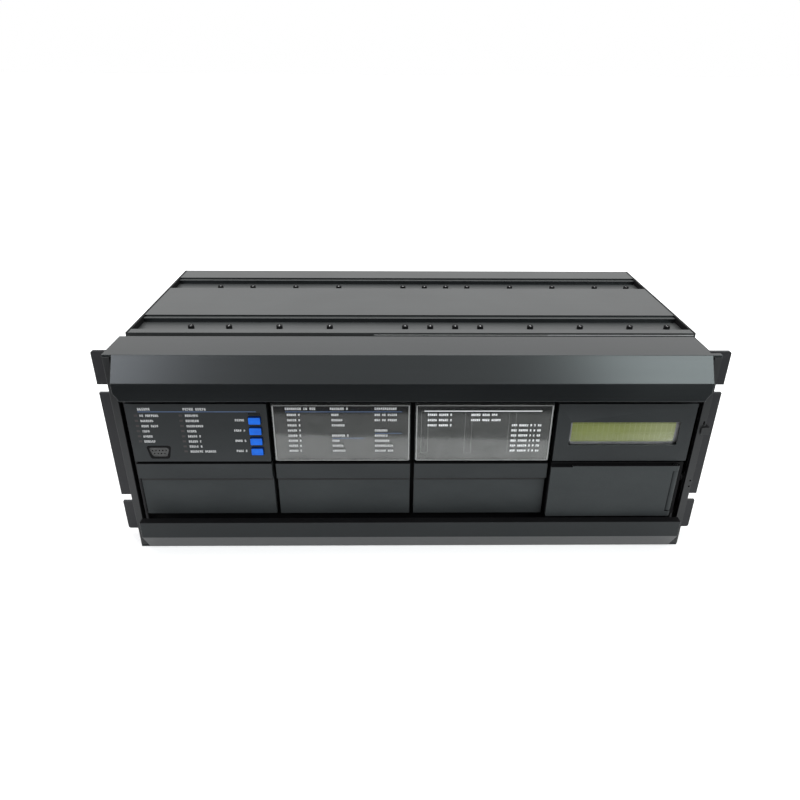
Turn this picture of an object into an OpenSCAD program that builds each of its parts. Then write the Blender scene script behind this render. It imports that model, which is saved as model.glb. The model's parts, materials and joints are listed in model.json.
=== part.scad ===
// Rack-mounted line protection relay: grooved case, plug-in modules and a hinged front door.
// Lengths in millimetres. +X right, +Y to the rear, +Z up, origin under the middle of the whole part.
// Inside the modules Y is measured from the rack plane and Z from mid-height, and placed() moves both.

/* [Case] */
// Height of the case
case_h = 175; // [174.6:0.2:177]
// Distance of the case front edge behind the rack plane
case_front = 24; // [22:0.5:27]
// Distance of the case rear edge behind the rack plane
case_back = 194.5; // [190:0.5:230]
// Thickness of the side plates
side_t = 2; // [1.5:0.25:3]
// Wall of the grooved top and bottom profiles
skin_t = 3; // [2.5:0.25:3.25]
// Depth of the grooves in the top and bottom
groove_depth = 4.8; // [4:0.1:6]
// Floor width of each groove
groove_w = 28.5; // [24:0.5:32]
// Raised strip in front of the front groove
front_strip = 7.7; // [7:0.1:10]
// Raised panel between the grooves
mid_w = 72.5; // [60:0.5:76]
// Width of the ledge behind each groove
ledge_w = 4.5; // [3.5:0.1:6]
// Drop of the ledge below the raised face
ledge_drop = 1.4; // [1:0.1:1.8]

/* [Cards] */
// Place of the first card from the case's left side, in slot pitches
first_slot = 2.195; // [2:0.005:2.4]
// Distance of the card guides behind the case front edge
guide_set = 10; // [8:0.5:14]
// Thickness of an ejector clip
clip_t = 4; // [3:0.25:4.5]
// Length of an ejector clip's lever
clip_l = 13; // [10:0.5:15]
// Board thickness
board_t = 1.6; // [1.2:0.1:2]
// Width of a card guide
guide_w = 7; // [6:0.5:9]
// Height of a card guide
guide_h = 7; // [6:0.5:9]
// Depth of the board groove in a card guide
guide_groove = 3; // [2:0.25:4]
// Side play of a board in its guide
board_play = 0.2; // [0.1:0.05:0.3]
// Diameter of the guide screws
screw_d = 3; // [2.5:0.1:3.5]
// Diameter of the guide screw heads
screw_head = 5.6; // [5:0.1:6.5]
// Height of all screw heads
screw_head_h = 2.4; // [1.8:0.1:3]
// Play of a screw in its hole
screw_play = 0.1; // [0.05:0.05:0.2]

/* [Rack brackets] */
// Overall width over the brackets
rack_w = 482.6; // [478:0.1:486]
// Reach of a bracket past the case side
ear_w = 18.8; // [17:0.1:24]
// Distance of a bracket's ends from the case's top and bottom
ear_drop = 5.4; // [4:0.1:12]
// Sheet thickness of a bracket
ear_t = 2.5; // [2:0.25:3]
// Reach of the bracket along the case side
bracket_leg = 46; // [40:1:70]
// Upright distance of the rack slots
slot_spacing = 101.6; // [88.9:0.05:114.3]
// Distance of the rack slot centres from the bracket's outer edge
slot_in = 8; // [7:0.1:10]
// Width of a rack slot
slot_w = 7.1; // [6.5:0.1:8]

/* [Front door] */
// Distance of the door's top and bottom from those of the case
door_drop = 0.5; // [0.4:0.05:0.8]
// Overhang of the door past the case on each side
door_side = 2.5; // [2:0.25:4]
// Sheet thickness of the door
door_t = 2; // [1.5:0.1:2.2]
// Reach of the door's top and bottom walls behind the rack plane
door_back = 18; // [14:0.5:19]
// Reach of the rails in front of the rack plane
rail_reach = 18.5; // [17:0.5:20]
// Reach of the visors in front of the rack plane
visor_reach = 29.6; // [28.5:0.1:33]
// Height of the visor bevels
bevel_h = 18; // [15:0.5:20]
// Height of the upright visor faces
visor_face = 14.5; // [12:0.5:15]
// Inset of the visor ends from the door sides
visor_inset = 7; // [6.5:0.25:9]
// Depth of the lip behind the bottom visor face
visor_lip = 6.4; // [5:0.1:8]
// Drop of the lip behind the top visor face
soffit_drop = 4.5; // [3:0.1:5]
// Width of the side rails
rail_w = 5.5; // [5:0.1:6]
// Gap between the rails and the rack plane
rail_gap = 3; // [2.5:0.1:4]

/* [Hinge and latch] */
// Distance of the hinge axis from the door's left side
hinge_in = 11; // [10.5:0.25:12]
// Distance of the hinge axis in front of the rack plane
hinge_set = 12.5; // [12:0.1:13]
// Diameter of the hinge pins
pin_d = 4; // [3.5:0.1:4.5]
// Radial play of all pins
pin_play = 0.05; // [0.03:0.01:0.08]
// Height of the gap for the hinge washers
hinge_gap = 0.5; // [0.4:0.05:0.8]
// Thickness of the hinge arms
arm_t = 2.2; // [2:0.1:2.3]
// Width of the hinge arms
arm_w = 9; // [7:0.5:12]
// Travel of the latch
latch_travel = 6; // [4:0.5:7]
// Running clearance between moving pieces
run_gap = 0.4; // [0.3:0.05:0.5]

/* [Panels] */
// Gap between neighbouring panels
panel_gap = 3.2; // [2.5:0.1:4]
// Gap between the panels and the rails
panel_side_gap = 3.7; // [3:0.1:5]
// Reach of the lower panels behind the bottom visor's lip
row_tuck = 1.7; // [1:0.1:3]
// Gap between the two panel rows
row_gap = 2.4; // [2:0.1:3]
// Gap between the top visor face and the panels
row_top_gap = 7.5; // [6.5:0.1:9]
// Wall of the panels
wall = 2; // [1.6:0.1:2.2]
// Height of the upper strip of a blank panel
blank_strip = 13.5; // [10:0.5:20]
// Depth of the field of a blank panel
blank_recess = 4; // [2:0.25:6]
// Thickness of a label card
label_t = 0.3; // [0.2:0.05:0.4]
// Thickness of a clear cover
cover_t = 1.5; // [1:0.1:1.8]
// Margin of a clear cover inside its panel
cover_margin = 0.6; // [0.3:0.1:1]
// Width of a lamp
lamp_w = 2.4; // [2:0.1:3]
// Height of a lamp
lamp_h = 1.6; // [1.2:0.1:2]

/* [Controls] */
// Width of a push-button
button_w = 9.2; // [8:0.1:10]
// Space between one push-button and the next
button_space = 3; // [2.5:0.1:4]
// Reach of a push-button in front of its panel
button_reach = 1.8; // [1.6:0.1:2.5]
// Travel of a push-button
button_travel = 1.5; // [1:0.1:1.6]
// Distance of the display window from its panel's sides
lcd_side = 11.45; // [10.5:0.05:14]
// Distance of the display window from its panel's top and bottom
lcd_edge = 15.8; // [12:0.1:18]
// Width of the serial port's outline
port_w = 18.6; // [17:0.1:19.5]
// Height of the serial port's outline
port_h = 11.8; // [10.5:0.1:12.5]
// Reach of the keypad door in front of the panels
keypad_reach = 3.5; // [3.2:0.1:4]
// Thickness of the keypad door
keypad_door_t = 2.2; // [1.8:0.1:2.4]
// Radius of the keypad door's hinge barrel
barrel_r = 2.5; // [2.3:0.05:2.7]
// Diameter of the keypad door's pins
keypad_pin_d = 2; // [1.8:0.1:2.2]

/* [Rear] */
// Reach of the terminal blocks behind the case
terminal_reach = 32.5; // [26:0.5:40]
// Width of a terminal block
terminal_w = 17; // [15:0.5:18]
// Height of a terminal block
terminal_h = 122; // [112:1:130]
// Terminals in each column of a block
terminal_rows = 8; // [6:1:9]
// Diameter of a terminal screw
terminal_screw = 5; // [4:0.1:5.5]
// Thickness of the rear panel
rear_t = 2; // [1.5:0.25:3]

/* [Hidden] */
$fn = 40;

// Place of the rack plane and of mid-height in the part's own frame
rear_reach = case_back + terminal_reach;
rack_y = (visor_reach - rear_reach) / 2;
mid_z = case_h / 2;

// Case profile, from front to rear
case_w = rack_w - 2 * ear_w;
half_w = case_w / 2;
inner_x = half_w - side_t;
top_z = case_h / 2;
floor_z = top_z - groove_depth;
ledge_z = top_z - ledge_drop;
under_z = floor_z - skin_t;
strip_under = top_z - skin_t;
y_strip = case_front + front_strip;
y_floor = y_strip + groove_w;
y_mid = y_floor + ledge_w;
y_mid_end = y_mid + mid_w;
y_floor2 = y_mid_end + groove_w;
y_ledge2 = y_floor2 + ledge_w;
case_path = [[case_front, top_z], [y_strip, top_z], [y_strip, floor_z], [y_floor, floor_z],
    [y_floor, ledge_z], [y_mid, ledge_z], [y_mid, top_z], [y_mid_end, top_z],
    [y_mid_end, floor_z], [y_floor2, floor_z], [y_floor2, ledge_z], [y_ledge2, ledge_z],
    [y_ledge2, top_z], [case_back, top_z]];

// Cards, counted in slot pitches from the first one
card_slots = [0, 1.5, 3.5, 5.5, 8.5, 9.5, 10.5, 11.5, 13.5, 15.5, 17.5, 19];
slot_pitch = 2 * inner_x / 21.7;
first_card = first_slot * slot_pitch - half_w;
card_x = [for (s = card_slots) first_card + s * slot_pitch];
guide_screw_y = [y_strip + groove_w / 2, y_mid_end + groove_w / 2];
guide_screw_depth = skin_t + 2.5;
guide_front = case_front + guide_set;
rear_y = case_back - rear_t - 1.5;
standoff = 8;
backplane_t = 2;
backplane_y = rear_y - standoff - backplane_t;
socket_depth = 10;
socket_w = 8;
socket_h = terminal_h - 10;
guide_back = backplane_y - 1;
board_top = under_z - guide_h + guide_groove - board_play;
board_front = guide_front + 1;
board_back = backplane_y - socket_depth / 2;
board_d = board_back - board_front;
board_h = 2 * board_top;
neck_w = 11;
neck_h = terminal_h - 20;
well_w = 6.6;
well_depth = 3;
terminal_pitch = (terminal_h - 10) / terminal_rows;
standoff_x = [first_card - 0.75 * slot_pitch, card_x[3] + 1.5 * slot_pitch, card_x[11] - 0.75 * slot_pitch];
standoff_z = 0.45 * terminal_h;
backplane_in = 5.5;
backplane_h = board_h - 2 * backplane_in;
standoff_d = 7;

// Brackets
bracket_screw_y = (case_front + bracket_leg) / 2;
ear_h = case_h - 2 * ear_drop;
bracket_screw_z = [for (f = [-0.38, -0.15, 0.15, 0.38]) f * ear_h];
slot_centres = rack_w - 2 * slot_in;
ear_corner = 2;

// Door outline and visor section
door_x = half_w + door_side;
door_z = case_h / 2 - door_drop;
door_in = door_z - door_t;
visor_x = door_x - visor_inset;
bevel_z = door_z - bevel_h;
lip_z = bevel_z - visor_face;
soffit_reach = visor_lip + 3;
rail_in = door_x - rail_w;
rail_side_z = door_in - hinge_gap - arm_t - run_gap;
corner_cut = [4, 7];

// Hinge
hinge_x = -door_x + hinge_in;
hinge_y = -hinge_set;
arm_top = door_in - hinge_gap;
arm_bottom = arm_top - arm_t;
arm_boss = pin_d / 2 + 1.8;
arm_left = 1.5;
washer_play = 0.15;

// Carrier plate and panels
carrier_t = 1.5;
cable_w = 36;
cable_h = 16;
carrier_y = -rail_gap - 2 - carrier_t / 2;
panel_x = rail_in - panel_side_gap;
panel_w = (2 * panel_x - 3 * panel_gap) / 4;
panel_step = panel_w + panel_gap;
row_top = lip_z - row_top_gap;
row_h = (2 * lip_z - row_top_gap - row_gap + row_tuck) / 2;
row_low = row_top - row_h - row_gap;
panel_front = -rail_reach;
panel_back = carrier_y;
lamp_front = panel_front + label_t + cover_t - 0.3;
lamp_cols = [for (f = [0.066, 0.384, 0.701]) f * panel_w];
lamp_first = 0.1925 * row_h;
lamp_pitch = row_h / 11.2;
lamp_depth = wall;
label_margin = cover_margin;

// Push-buttons
button_x = -panel_x + panel_w - 9.6;
button_first = row_top - 0.272 * row_h;
button_pitch = row_h / 5.58;
button_h = button_pitch - button_space;
button_flange = [2, 1, button_pitch - 1.2];
button_stem_d = 3;
board_y = panel_front + wall + 7;
boss_d = 5;
switch_h = board_y - panel_front - wall - button_flange[1] - button_travel - 2 * run_gap;
switch_well = 3.6;
stem_end = board_y - 0.2 - run_gap - button_travel;

// Display, port and keypad
lcd_w = panel_w - 2 * lcd_side;
lcd_h = row_h - 2 * lcd_edge;
lcd_x = panel_x - panel_w / 2;
lcd_z = row_top - row_h / 2;
pane_t = 1.2;
pane_rim = 2.5;
lcd_rim = [8, 7];
lcd_depth = 6;
port_x = -panel_x + 19.9;
port_z = row_top - row_h + 8.4;
port_wall = 1.5;
port_flange = [30.8, 12.4, 1];
port_play = 0.2;
pin_hole = 1.2;
pin_pitch = 2.6;
keypad_left = panel_x - panel_w;
keypad_front = panel_front - keypad_reach;
keypad_axis_x = panel_x - 6.8;
keypad_axis_y = keypad_front + barrel_r;
keypad_door_top = row_low - 0.4;
keypad_door_low = -lip_z + run_gap;
knuckle_end = 4.6;
keypad_seat = keypad_axis_y + barrel_r + run_gap;
key_rise = 0.5;
mat_t = 1;

// Latch, on the right
latch_t = 2;
latch_out = half_w - 1.2;
latch_in = latch_out - latch_t;
latch_y = [-15, -5.5];
latch_z = 0.138 * case_h;
tab_h = 6;
tab_y = [-14.2, -9.4];
tab_reach = 3;
thumb_t = 1.2;
thumb_over = 3.2;
mark_w = 1.2;
mark_h = 3.6;
mark_z = latch_z + tab_h / 2 + 0.2;
hook_z = [0.34 * case_h, -0.28 * case_h];
hook_h = 6;
latch_ends = [hook_z[1] - 1.5 * hook_h, hook_z[0] + 1.5 * hook_h];
finger = [4.7, 4, latch_travel + 1];
finger_y = 10;
rivet_z = [0.25 * case_h, -0.13 * case_h];
rivet_d = 4;
rivet_head = 7.4;
keeper_gap = 0.5;
keeper_t = 2;
keeper_front = finger_y - 6;
keeper_seat = 14;
keeper_h = latch_travel + 6;
rail_hole = 1.6;
rail_hole_z = [-22.3, -27.7];

// Moves a piece from the rack frame to the part's own frame
module placed() translate([0, rack_y, mid_z]) children();

// A box between two corners
module span(x, y, z)
    translate([x[0], y[0], z[0]]) cube([x[1] - x[0], y[1] - y[0], z[1] - z[0]]);

// Draws a Y-Z outline out along X
module along_x(x)
    translate([x[0], 0, 0]) rotate([90, 0, 90]) linear_extrude(x[1] - x[0]) children();

// Draws an X-Z outline out along Y
module along_y(y)
    translate([0, y[1], 0]) rotate([90, 0, 0]) linear_extrude(y[1] - y[0]) children();

// A rectangle with round corners
module round_rect(x, z, r) {
    translate([x[0] + r, z[0]]) square([x[1] - x[0] - 2 * r, z[1] - z[0]]);
    translate([x[0], z[0] + r]) square([x[1] - x[0], z[1] - z[0] - 2 * r]);
    for (u = [x[0] + r, x[1] - r], v = [z[0] + r, z[1] - r]) translate([u, v]) circle(r);
}

// The two-sided outline of a folded sheet that lies to the right of its path
function unit(a, b) = (b - a) / norm(b - a);
function right_of(d) = [d[1], -d[0]];
function fold_shift(p, i, t) =
    let (n = len(p), a = right_of(unit(p[max(i - 1, 0)], p[max(i, 1)])),
        b = right_of(unit(p[min(i, n - 2)], p[min(i + 1, n - 1)])))
    p[i] + t * (a + b) / (1 + a * b);
function sheet(p, t) =
    concat(p, [for (i = [len(p) - 1:-1:0]) fold_shift(p, i, t)]);

// Mirrors a copy to the other side of the middle plane
module upper_and_lower() {
    children();
    mirror([0, 0, 1]) children();
}

// A screw that points down from the origin, its head above
module screw(d, head_d, length) {
    difference() {
        cylinder(h = screw_head_h, d = head_d);
        for (turn = [0, 90]) rotate(turn)
            translate([-head_d * 0.3, -0.4, screw_head_h * 0.5]) cube([head_d * 0.6, 0.8, screw_head_h]);
    }
    translate([0, 0, -length]) cylinder(h = length, d = d);
}

// Case
module case_shell() difference() {
    along_x([-inner_x, inner_x]) polygon(sheet(case_path, skin_t));
    for (x = card_x, y = guide_screw_y)
        translate([x, y, 0]) cylinder(h = top_z, d = screw_d + 2 * screw_play);
}

module chassis_top() color("dimgray") placed() case_shell();

module chassis_bottom() color("dimgray") placed() mirror([0, 0, 1]) case_shell();

module side_plate() difference() {
    span([inner_x, half_w], [case_front, case_back], [-top_z, top_z]);
    for (z = bracket_screw_z) translate([inner_x - 1, bracket_screw_y, z]) rotate([0, 90, 0])
        cylinder(h = side_t + 2, d = screw_d + 2 * screw_play);
}

module left_side_plate() color("dimgray") placed() mirror([1, 0, 0]) side_plate();

module right_side_plate() color("dimgray") placed() side_plate();

module ear_outline() difference() {
    union() {
        round_rect([half_w, rack_w / 2], [-ear_h / 2, ear_h / 2], ear_corner);
        translate([half_w, -ear_h / 2]) square([ear_corner, ear_h]);
    }
    for (z = [-slot_spacing / 2, slot_spacing / 2]) translate([slot_centres / 2, z]) {
        circle(d = slot_w);
        translate([0, -slot_w / 2]) square([rack_w, slot_w]);
    }
}

module rack_bracket() difference() {
    union() {
        along_y([0, ear_t]) ear_outline();
        span([half_w, half_w + ear_t], [0, bracket_leg], [-ear_h / 2, ear_h / 2]);
    }
    for (z = bracket_screw_z) translate([half_w - 1, bracket_screw_y, z]) rotate([0, 90, 0])
        cylinder(h = ear_t + 2, d = screw_d + 2 * screw_play);
}

module left_rack_bracket() color("black") placed() mirror([1, 0, 0]) rack_bracket();

module right_rack_bracket() color("black") placed() rack_bracket();

module bracket_screws() color("gray") placed()
    for (side = [0, 1], z = bracket_screw_z) mirror([side, 0, 0])
        translate([half_w + ear_t, bracket_screw_y, z]) rotate([0, 90, 0])
            screw(screw_d, screw_head, ear_t + side_t);

module guide_screws() color("darkgray") placed()
    upper_and_lower()
        for (x = card_x, y = guide_screw_y) translate([x, y, floor_z])
            screw(screw_d, screw_head, guide_screw_depth);

// Cards and their guides
module card_guide(x) difference() {
    span([x - guide_w / 2, x + guide_w / 2], [guide_front, guide_back], [under_z - guide_h, under_z]);
    span([x - board_t / 2 - board_play, x + board_t / 2 + board_play], [guide_front - 1, guide_back + 1],
        [under_z - guide_h - 1, under_z - guide_h + guide_groove]);
    for (y = guide_screw_y) translate([x, y, under_z - guide_screw_depth + skin_t - screw_play])
        cylinder(h = guide_h, d = screw_d + 2 * screw_play);
}

module card_guides() color("black") placed()
    upper_and_lower() for (x = card_x) card_guide(x);

module board(i)
    span([card_x[i] - board_t / 2, card_x[i] + board_t / 2], [board_front, board_back], [-board_top, board_top]);

// A block on the face of card i: its middle and its size as shares of the board, its rise as a share of the pitch
module on_board(i, at, rise, size)
    translate([card_x[i] + board_t / 2, board_front + (at[0] - size[0] / 2) * board_d, (at[1] - size[1] / 2) * board_h])
        cube([rise * slot_pitch, size[0] * board_d, size[1] * board_h]);

module power_module() color("darkgreen") placed() {
    board(0);
    on_board(0, [0.46, 0.2], 0.64, [0.43, 0.4]);
    for (z = [-0.13, -0.3]) translate([card_x[0] + board_t / 2, board_front + 0.25 * board_d, z * board_h])
        rotate([0, 90, 0]) cylinder(h = 0.64 * slot_pitch, d = 0.145 * board_h);
    for (k = [0:6]) on_board(0, [0.5 + 0.0425 * k, -0.21], 0.59, [0.014, 0.29]);
}

module processor_module() color("darkgreen") placed() {
    board(1);
    on_board(1, [0.32, 0.166], 0.2, [0.25, 0.23]);
    for (k = [0:3], z = [-0.1, -0.265]) on_board(1, [0.18 + 0.156 * k, z], 0.15, [0.1, 0.12]);
    on_board(1, [0.745, 0.166], 0.44, [0.156, 0.3]);
}

module comms_module() color("darkgreen") placed() {
    board(2);
    for (z = [-0.265, 0, 0.265]) on_board(2, [0.8, z], 0.54, [0.2, 0.093]);
    for (z = [-0.2, 0, 0.2]) on_board(2, [0.32, z], 0.15, [0.17, 0.12]);
}

module input_modules() color("darkgreen") placed() for (i = [3, 4]) {
    board(i);
    for (y = [0.25, 0.6], z = [-0.3, -0.1, 0.1, 0.3]) on_board(i, [y, z], 0.64, [0.24, 0.16]);
}

module contact_modules() color("darkgreen") placed() for (i = [5:11]) {
    board(i);
    for (k = [0:7]) on_board(i, [0.674, 0.1 * k - 0.35], 0.49, [0.185, 0.073]);
    for (z = [-0.265, 0, 0.265]) on_board(i, [0.25, z], 0.15, [0.14, 0.13]);
}

module ejector_clips() color("white") placed()
    upper_and_lower()
        for (x = card_x) translate([x - board_t / 2 - clip_t, board_front, board_top - 0.77 * clip_l]) rotate([90, 0, 90])
            linear_extrude(clip_t) polygon(clip_l * [[0.92, 0], [0.92, 0.46], [0.15, 0.46], [-0.38, 0], [-0.62, -0.92],
                [-0.38, -1], [0, -0.31]]);

// Rear
module backplane() color("darkgreen") placed() {
    span([card_x[0] - slot_pitch, card_x[11] + 0.5 * slot_pitch], [backplane_y, backplane_y + backplane_t],
        [-backplane_h / 2, backplane_h / 2]);
    for (x = standoff_x, z = [-standoff_z, standoff_z]) translate([x, backplane_y + backplane_t, z]) rotate([-90, 0, 0])
        difference() {
            cylinder(h = standoff, d = standoff_d);
            translate([0, 0, 2]) cylinder(h = standoff, d = screw_d + 2 * screw_play);
        }
}

module bus_sockets() color("black") placed() for (x = card_x) difference() {
    span([x - socket_w / 2, x + socket_w / 2], [backplane_y - socket_depth, backplane_y], [-socket_h / 2, socket_h / 2]);
    span([x - board_t / 2 - board_play, x + board_t / 2 + board_play],
        [backplane_y - socket_depth - 1, board_back + board_play], [-socket_h, socket_h]);
}

module rear_panel() color("dimgray") placed() difference() {
    span([-inner_x, inner_x], [rear_y, rear_y + rear_t], [-strip_under, strip_under]);
    for (x = card_x)
        span([x - neck_w / 2 - board_play, x + neck_w / 2 + board_play], [rear_y - 1, rear_y + rear_t + 1],
            [-neck_h / 2 - board_play, neck_h / 2 + board_play]);
    for (x = standoff_x, z = [-standoff_z, standoff_z]) translate([x, rear_y - 1, z]) rotate([-90, 0, 0])
        cylinder(h = rear_t + 2, d = screw_d + 2 * screw_play);
}

module rear_screws() color("darkgray") placed()
    for (x = standoff_x, z = [-standoff_z, standoff_z]) translate([x, rear_y + rear_t, z]) rotate([-90, 0, 0])
        screw(screw_d, screw_head, rear_t + standoff - 3);

// Places children at each terminal of a block whose middle is at x
module at_terminals(x) for (side = [-1, 1], k = [0:terminal_rows - 1])
    translate([x + side * terminal_w / 4, rear_reach, (k - (terminal_rows - 1) / 2) * terminal_pitch])
        rotate([-90, 0, 0]) children();

module terminal_blocks() color("black") placed() for (x = card_x) difference() {
    union() {
        span([x - terminal_w / 2, x + terminal_w / 2], [rear_y + rear_t, rear_reach], [-terminal_h / 2, terminal_h / 2]);
        span([x - neck_w / 2, x + neck_w / 2], [backplane_y + backplane_t, rear_y + rear_t], [-neck_h / 2, neck_h / 2]);
    }
    at_terminals(x) translate([-well_w / 2, -terminal_pitch / 2 + 1, -well_depth])
        cube([well_w, terminal_pitch - 2, well_depth + 1]);
    at_terminals(x) translate([0, 0, -well_depth - 4]) cylinder(h = 5, d = screw_d + 2 * screw_play);
}

module terminal_screws() color("silver") placed() for (x = card_x)
    at_terminals(x) translate([0, 0, -well_depth]) {
        translate([0, 0, -3.5]) cylinder(h = 3.5, d = screw_d);
        difference() {
            cylinder(h = 2, d = terminal_screw);
            translate([-terminal_screw, -0.5, 1.2]) cube([2 * terminal_screw, 1, 1]);
        }
    }

// Hinge
module hinge_arm() difference() {
    union() {
        translate([hinge_x, hinge_y, arm_bottom]) cylinder(h = arm_t, r = arm_boss);
        span([hinge_x, hinge_x + arm_boss + 1], [hinge_y - arm_boss, hinge_y + arm_boss], [arm_bottom, arm_top]);
        span([hinge_x + arm_left, hinge_x + arm_left + arm_w], [hinge_y - arm_boss, case_front - 0.5], [arm_bottom, arm_top]);
        span([hinge_x + arm_left, hinge_x + arm_left + arm_w], [case_front - 3, y_strip - skin_t - run_gap],
            [arm_bottom, min(arm_top, strip_under)]);
        span([hinge_x + arm_left, hinge_x + arm_left + arm_w], [case_front, y_strip - skin_t - run_gap], [arm_bottom, strip_under]);
    }
    translate([hinge_x, hinge_y, arm_bottom - 1]) cylinder(h = arm_t + 2, d = pin_d + 2 * pin_play);
}

module upper_hinge_arm() color("gray") placed() hinge_arm();

module lower_hinge_arm() color("gray") placed() mirror([0, 0, 1]) hinge_arm();

module hinge_washers() color("ivory") placed() upper_and_lower()
    translate([hinge_x, hinge_y, arm_top]) difference() {
        cylinder(h = hinge_gap - washer_play, r = arm_boss);
        translate([0, 0, -1]) cylinder(h = hinge_gap + 2, d = pin_d + 2 * pin_play);
    }

module hinge_pins() color("silver") placed() upper_and_lower()
    translate([hinge_x, hinge_y, arm_bottom - 2]) cylinder(h = door_in - arm_bottom + 2, d = pin_d);

// Front door frame
module visor(drop, reach, cut) {
    path = [[door_back, door_z], [-rail_reach, door_z], [-visor_reach, bevel_z], [-visor_reach, lip_z],
        [-visor_reach + reach, lip_z - drop]];
    difference() {
        along_x([-visor_x, visor_x]) polygon(sheet([for (i = [len(path) - 1:-1:0]) path[i]], door_t));
        if (cut) for (side = [0, 1]) mirror([side, 0, 0]) along_y([-visor_reach - 1, -rail_reach])
            polygon([[visor_x + 1, lip_z - drop - 1], [visor_x + 1, lip_z + corner_cut[1]], [visor_x, lip_z + corner_cut[1]],
                [visor_x - corner_cut[0], lip_z], [visor_x - corner_cut[0], lip_z - drop - 1]]);
    }
    span([-door_x, -visor_x], [-rail_reach, door_back], [door_in, door_z]);
    span([visor_x, door_x], [-rail_reach, -rail_reach + 2 * door_t], [door_in, door_z]);
}

module top_visor() color("dimgray") placed() visor(soffit_drop, soffit_reach, true);

module bottom_visor() color("dimgray") placed() mirror([0, 0, 1]) visor(0, visor_lip, false);

module side_rail() {
    span([rail_in, door_x], [-rail_reach, -rail_reach + door_t], [-door_in, door_in]);
    span([door_x - door_t, door_x], [-rail_reach, -rail_gap], [-rail_side_z, rail_side_z]);
}

module left_rail() color("dimgray") placed() mirror([1, 0, 0]) side_rail();

module right_rail() color("dimgray") placed() difference() {
    side_rail();
    span([door_x - door_t - 1, door_x + 1], [tab_y[0] - run_gap, tab_y[1] + run_gap],
        [latch_z - tab_h / 2 - latch_travel - run_gap, latch_z + tab_h / 2 + run_gap]);
    span([door_x - thumb_over, door_x + 1], [-rail_reach - 1, -rail_reach + door_t + 1], [mark_z, mark_z + mark_w]);
    span([door_x - 2 * mark_w, door_x - mark_w], [-rail_reach - 1, -rail_reach + door_t + 1], [mark_z, mark_z + mark_w + mark_h]);
    for (z = rail_hole_z) translate([door_x - rail_hole, -rail_reach - 1, z]) rotate([-90, 0, 0])
        cylinder(h = door_t + 2, d = rail_hole);
}

module carrier_plate() color("gray") placed() difference() {
    span([-visor_x, panel_x], [carrier_y, carrier_y + carrier_t], [-door_in, door_in]);
    upper_and_lower() span([-door_x, hinge_x + arm_left + arm_w + 3], [carrier_y - 1, carrier_y + carrier_t + 1],
        [rail_side_z - run_gap, door_z]);
    for (i = [0:3], z = [row_top, row_low]) if (z == row_top || i == 3) {
        x = -panel_x + (i + 0.5) * panel_step;
        along_y([carrier_y - 1, carrier_y + carrier_t + 1])
            round_rect([x - cable_w / 2, x + cable_w / 2], [z - row_h / 2 - cable_h / 2, z - row_h / 2 + cable_h / 2], 3);
    }
}

// Panels
module tray(i, top, front) difference() {
    x = -panel_x + i * panel_step;
    span([x, x + panel_w], [front, panel_back], [top - row_h, top]);
    span([x + wall, x + panel_w - wall], [front + wall, panel_back + 1], [top - row_h + wall, top - wall]);
}

// Places children at each lamp of panel i
module at_lamps(i, columns, rows) for (c = [0:columns - 1], k = [0:rows[c] - 1])
    translate([-panel_x + i * panel_step + lamp_cols[c], 0, row_top - lamp_first - k * lamp_pitch]) children();

status_rows = [6, 8];
full_rows = [8, 8, 8];

module lamp_block(front, depth)
    span([-lamp_w / 2, lamp_w / 2], [front, front + depth], [-lamp_h / 2, lamp_h / 2]);

module status_panel() color("dimgray") placed() {
    difference() {
        tray(0, row_top, panel_front);
        for (k = [0:3]) along_y([panel_front - 1, panel_front + wall + 1])
            round_rect([button_x - button_w / 2 - run_gap, button_x + button_w / 2 + run_gap],
                [button_first - k * button_pitch - button_h / 2 - run_gap, button_first - k * button_pitch + button_h / 2 + run_gap], 1);
        along_y([panel_front - 1, panel_front + wall + 1]) translate([port_x, port_z]) port_outline(port_w, port_h);
        at_lamps(0, 2, status_rows) lamp_block(panel_front - 1, wall + 2);
        span([button_x - button_w / 2, button_x + button_w / 2], [panel_front - 1, panel_front + 1],
            [button_first + button_pitch / 2 + 0.2, button_first + button_pitch / 2 + 1.9]);
    }
    for (at = [[5, 5], [panel_w - 20, 5], [panel_w / 2, row_h - 5], [panel_w - 20, row_h - 5]])
        translate([-panel_x + at[0], panel_front + wall, row_top - at[1]]) rotate([-90, 0, 0])
            cylinder(h = board_y - panel_front - wall, d = boss_d);
}

module lamp_panel(i) difference() {
    tray(i, row_top, lamp_front);
    at_lamps(i, 3, full_rows) lamp_block(lamp_front - 1, wall + 2);
}

module lamp_panel_middle() color("dimgray") placed() lamp_panel(1);

module lamp_panel_right() color("dimgray") placed() lamp_panel(2);

module lamps() color("darkred") placed() {
    at_lamps(0, 2, status_rows) lamp_block(panel_front, lamp_depth);
    for (i = [1, 2]) at_lamps(i, 3, full_rows) lamp_block(lamp_front, lamp_depth);
}

module sheet_on_panel(i, margin, y) {
    x = -panel_x + i * panel_step;
    along_y(y) round_rect([x + margin, x + panel_w - margin], [row_top - row_h + margin, row_top - margin], 1);
}

module label_middle() color("lightgray") placed() sheet_on_panel(1, label_margin, [lamp_front - label_t, lamp_front]);

module label_right() color("lightgray") placed() sheet_on_panel(2, label_margin, [lamp_front - label_t, lamp_front]);

module clear_cover(i)
    sheet_on_panel(i, cover_margin, [lamp_front - label_t - cover_t, lamp_front - label_t]);

module cover_middle() color("white", 0.3) placed() clear_cover(1);

module cover_right() color("white", 0.3) placed() clear_cover(2);

module blank_panel(i) {
    x = -panel_x + i * panel_step;
    field = panel_front + blank_recess;
    path = [[panel_back, row_low - row_h], [field, row_low - row_h], [field, row_low - blank_strip],
        [panel_front, row_low - blank_strip], [panel_front, row_low], [panel_back, row_low]];
    along_x([x, x + panel_w]) polygon(sheet(path, wall));
    for (u = [x, x + panel_w - wall]) along_x([u, u + wall]) polygon(path);
}

module blank_panel_left() color("dimgray") placed() blank_panel(0);

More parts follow.
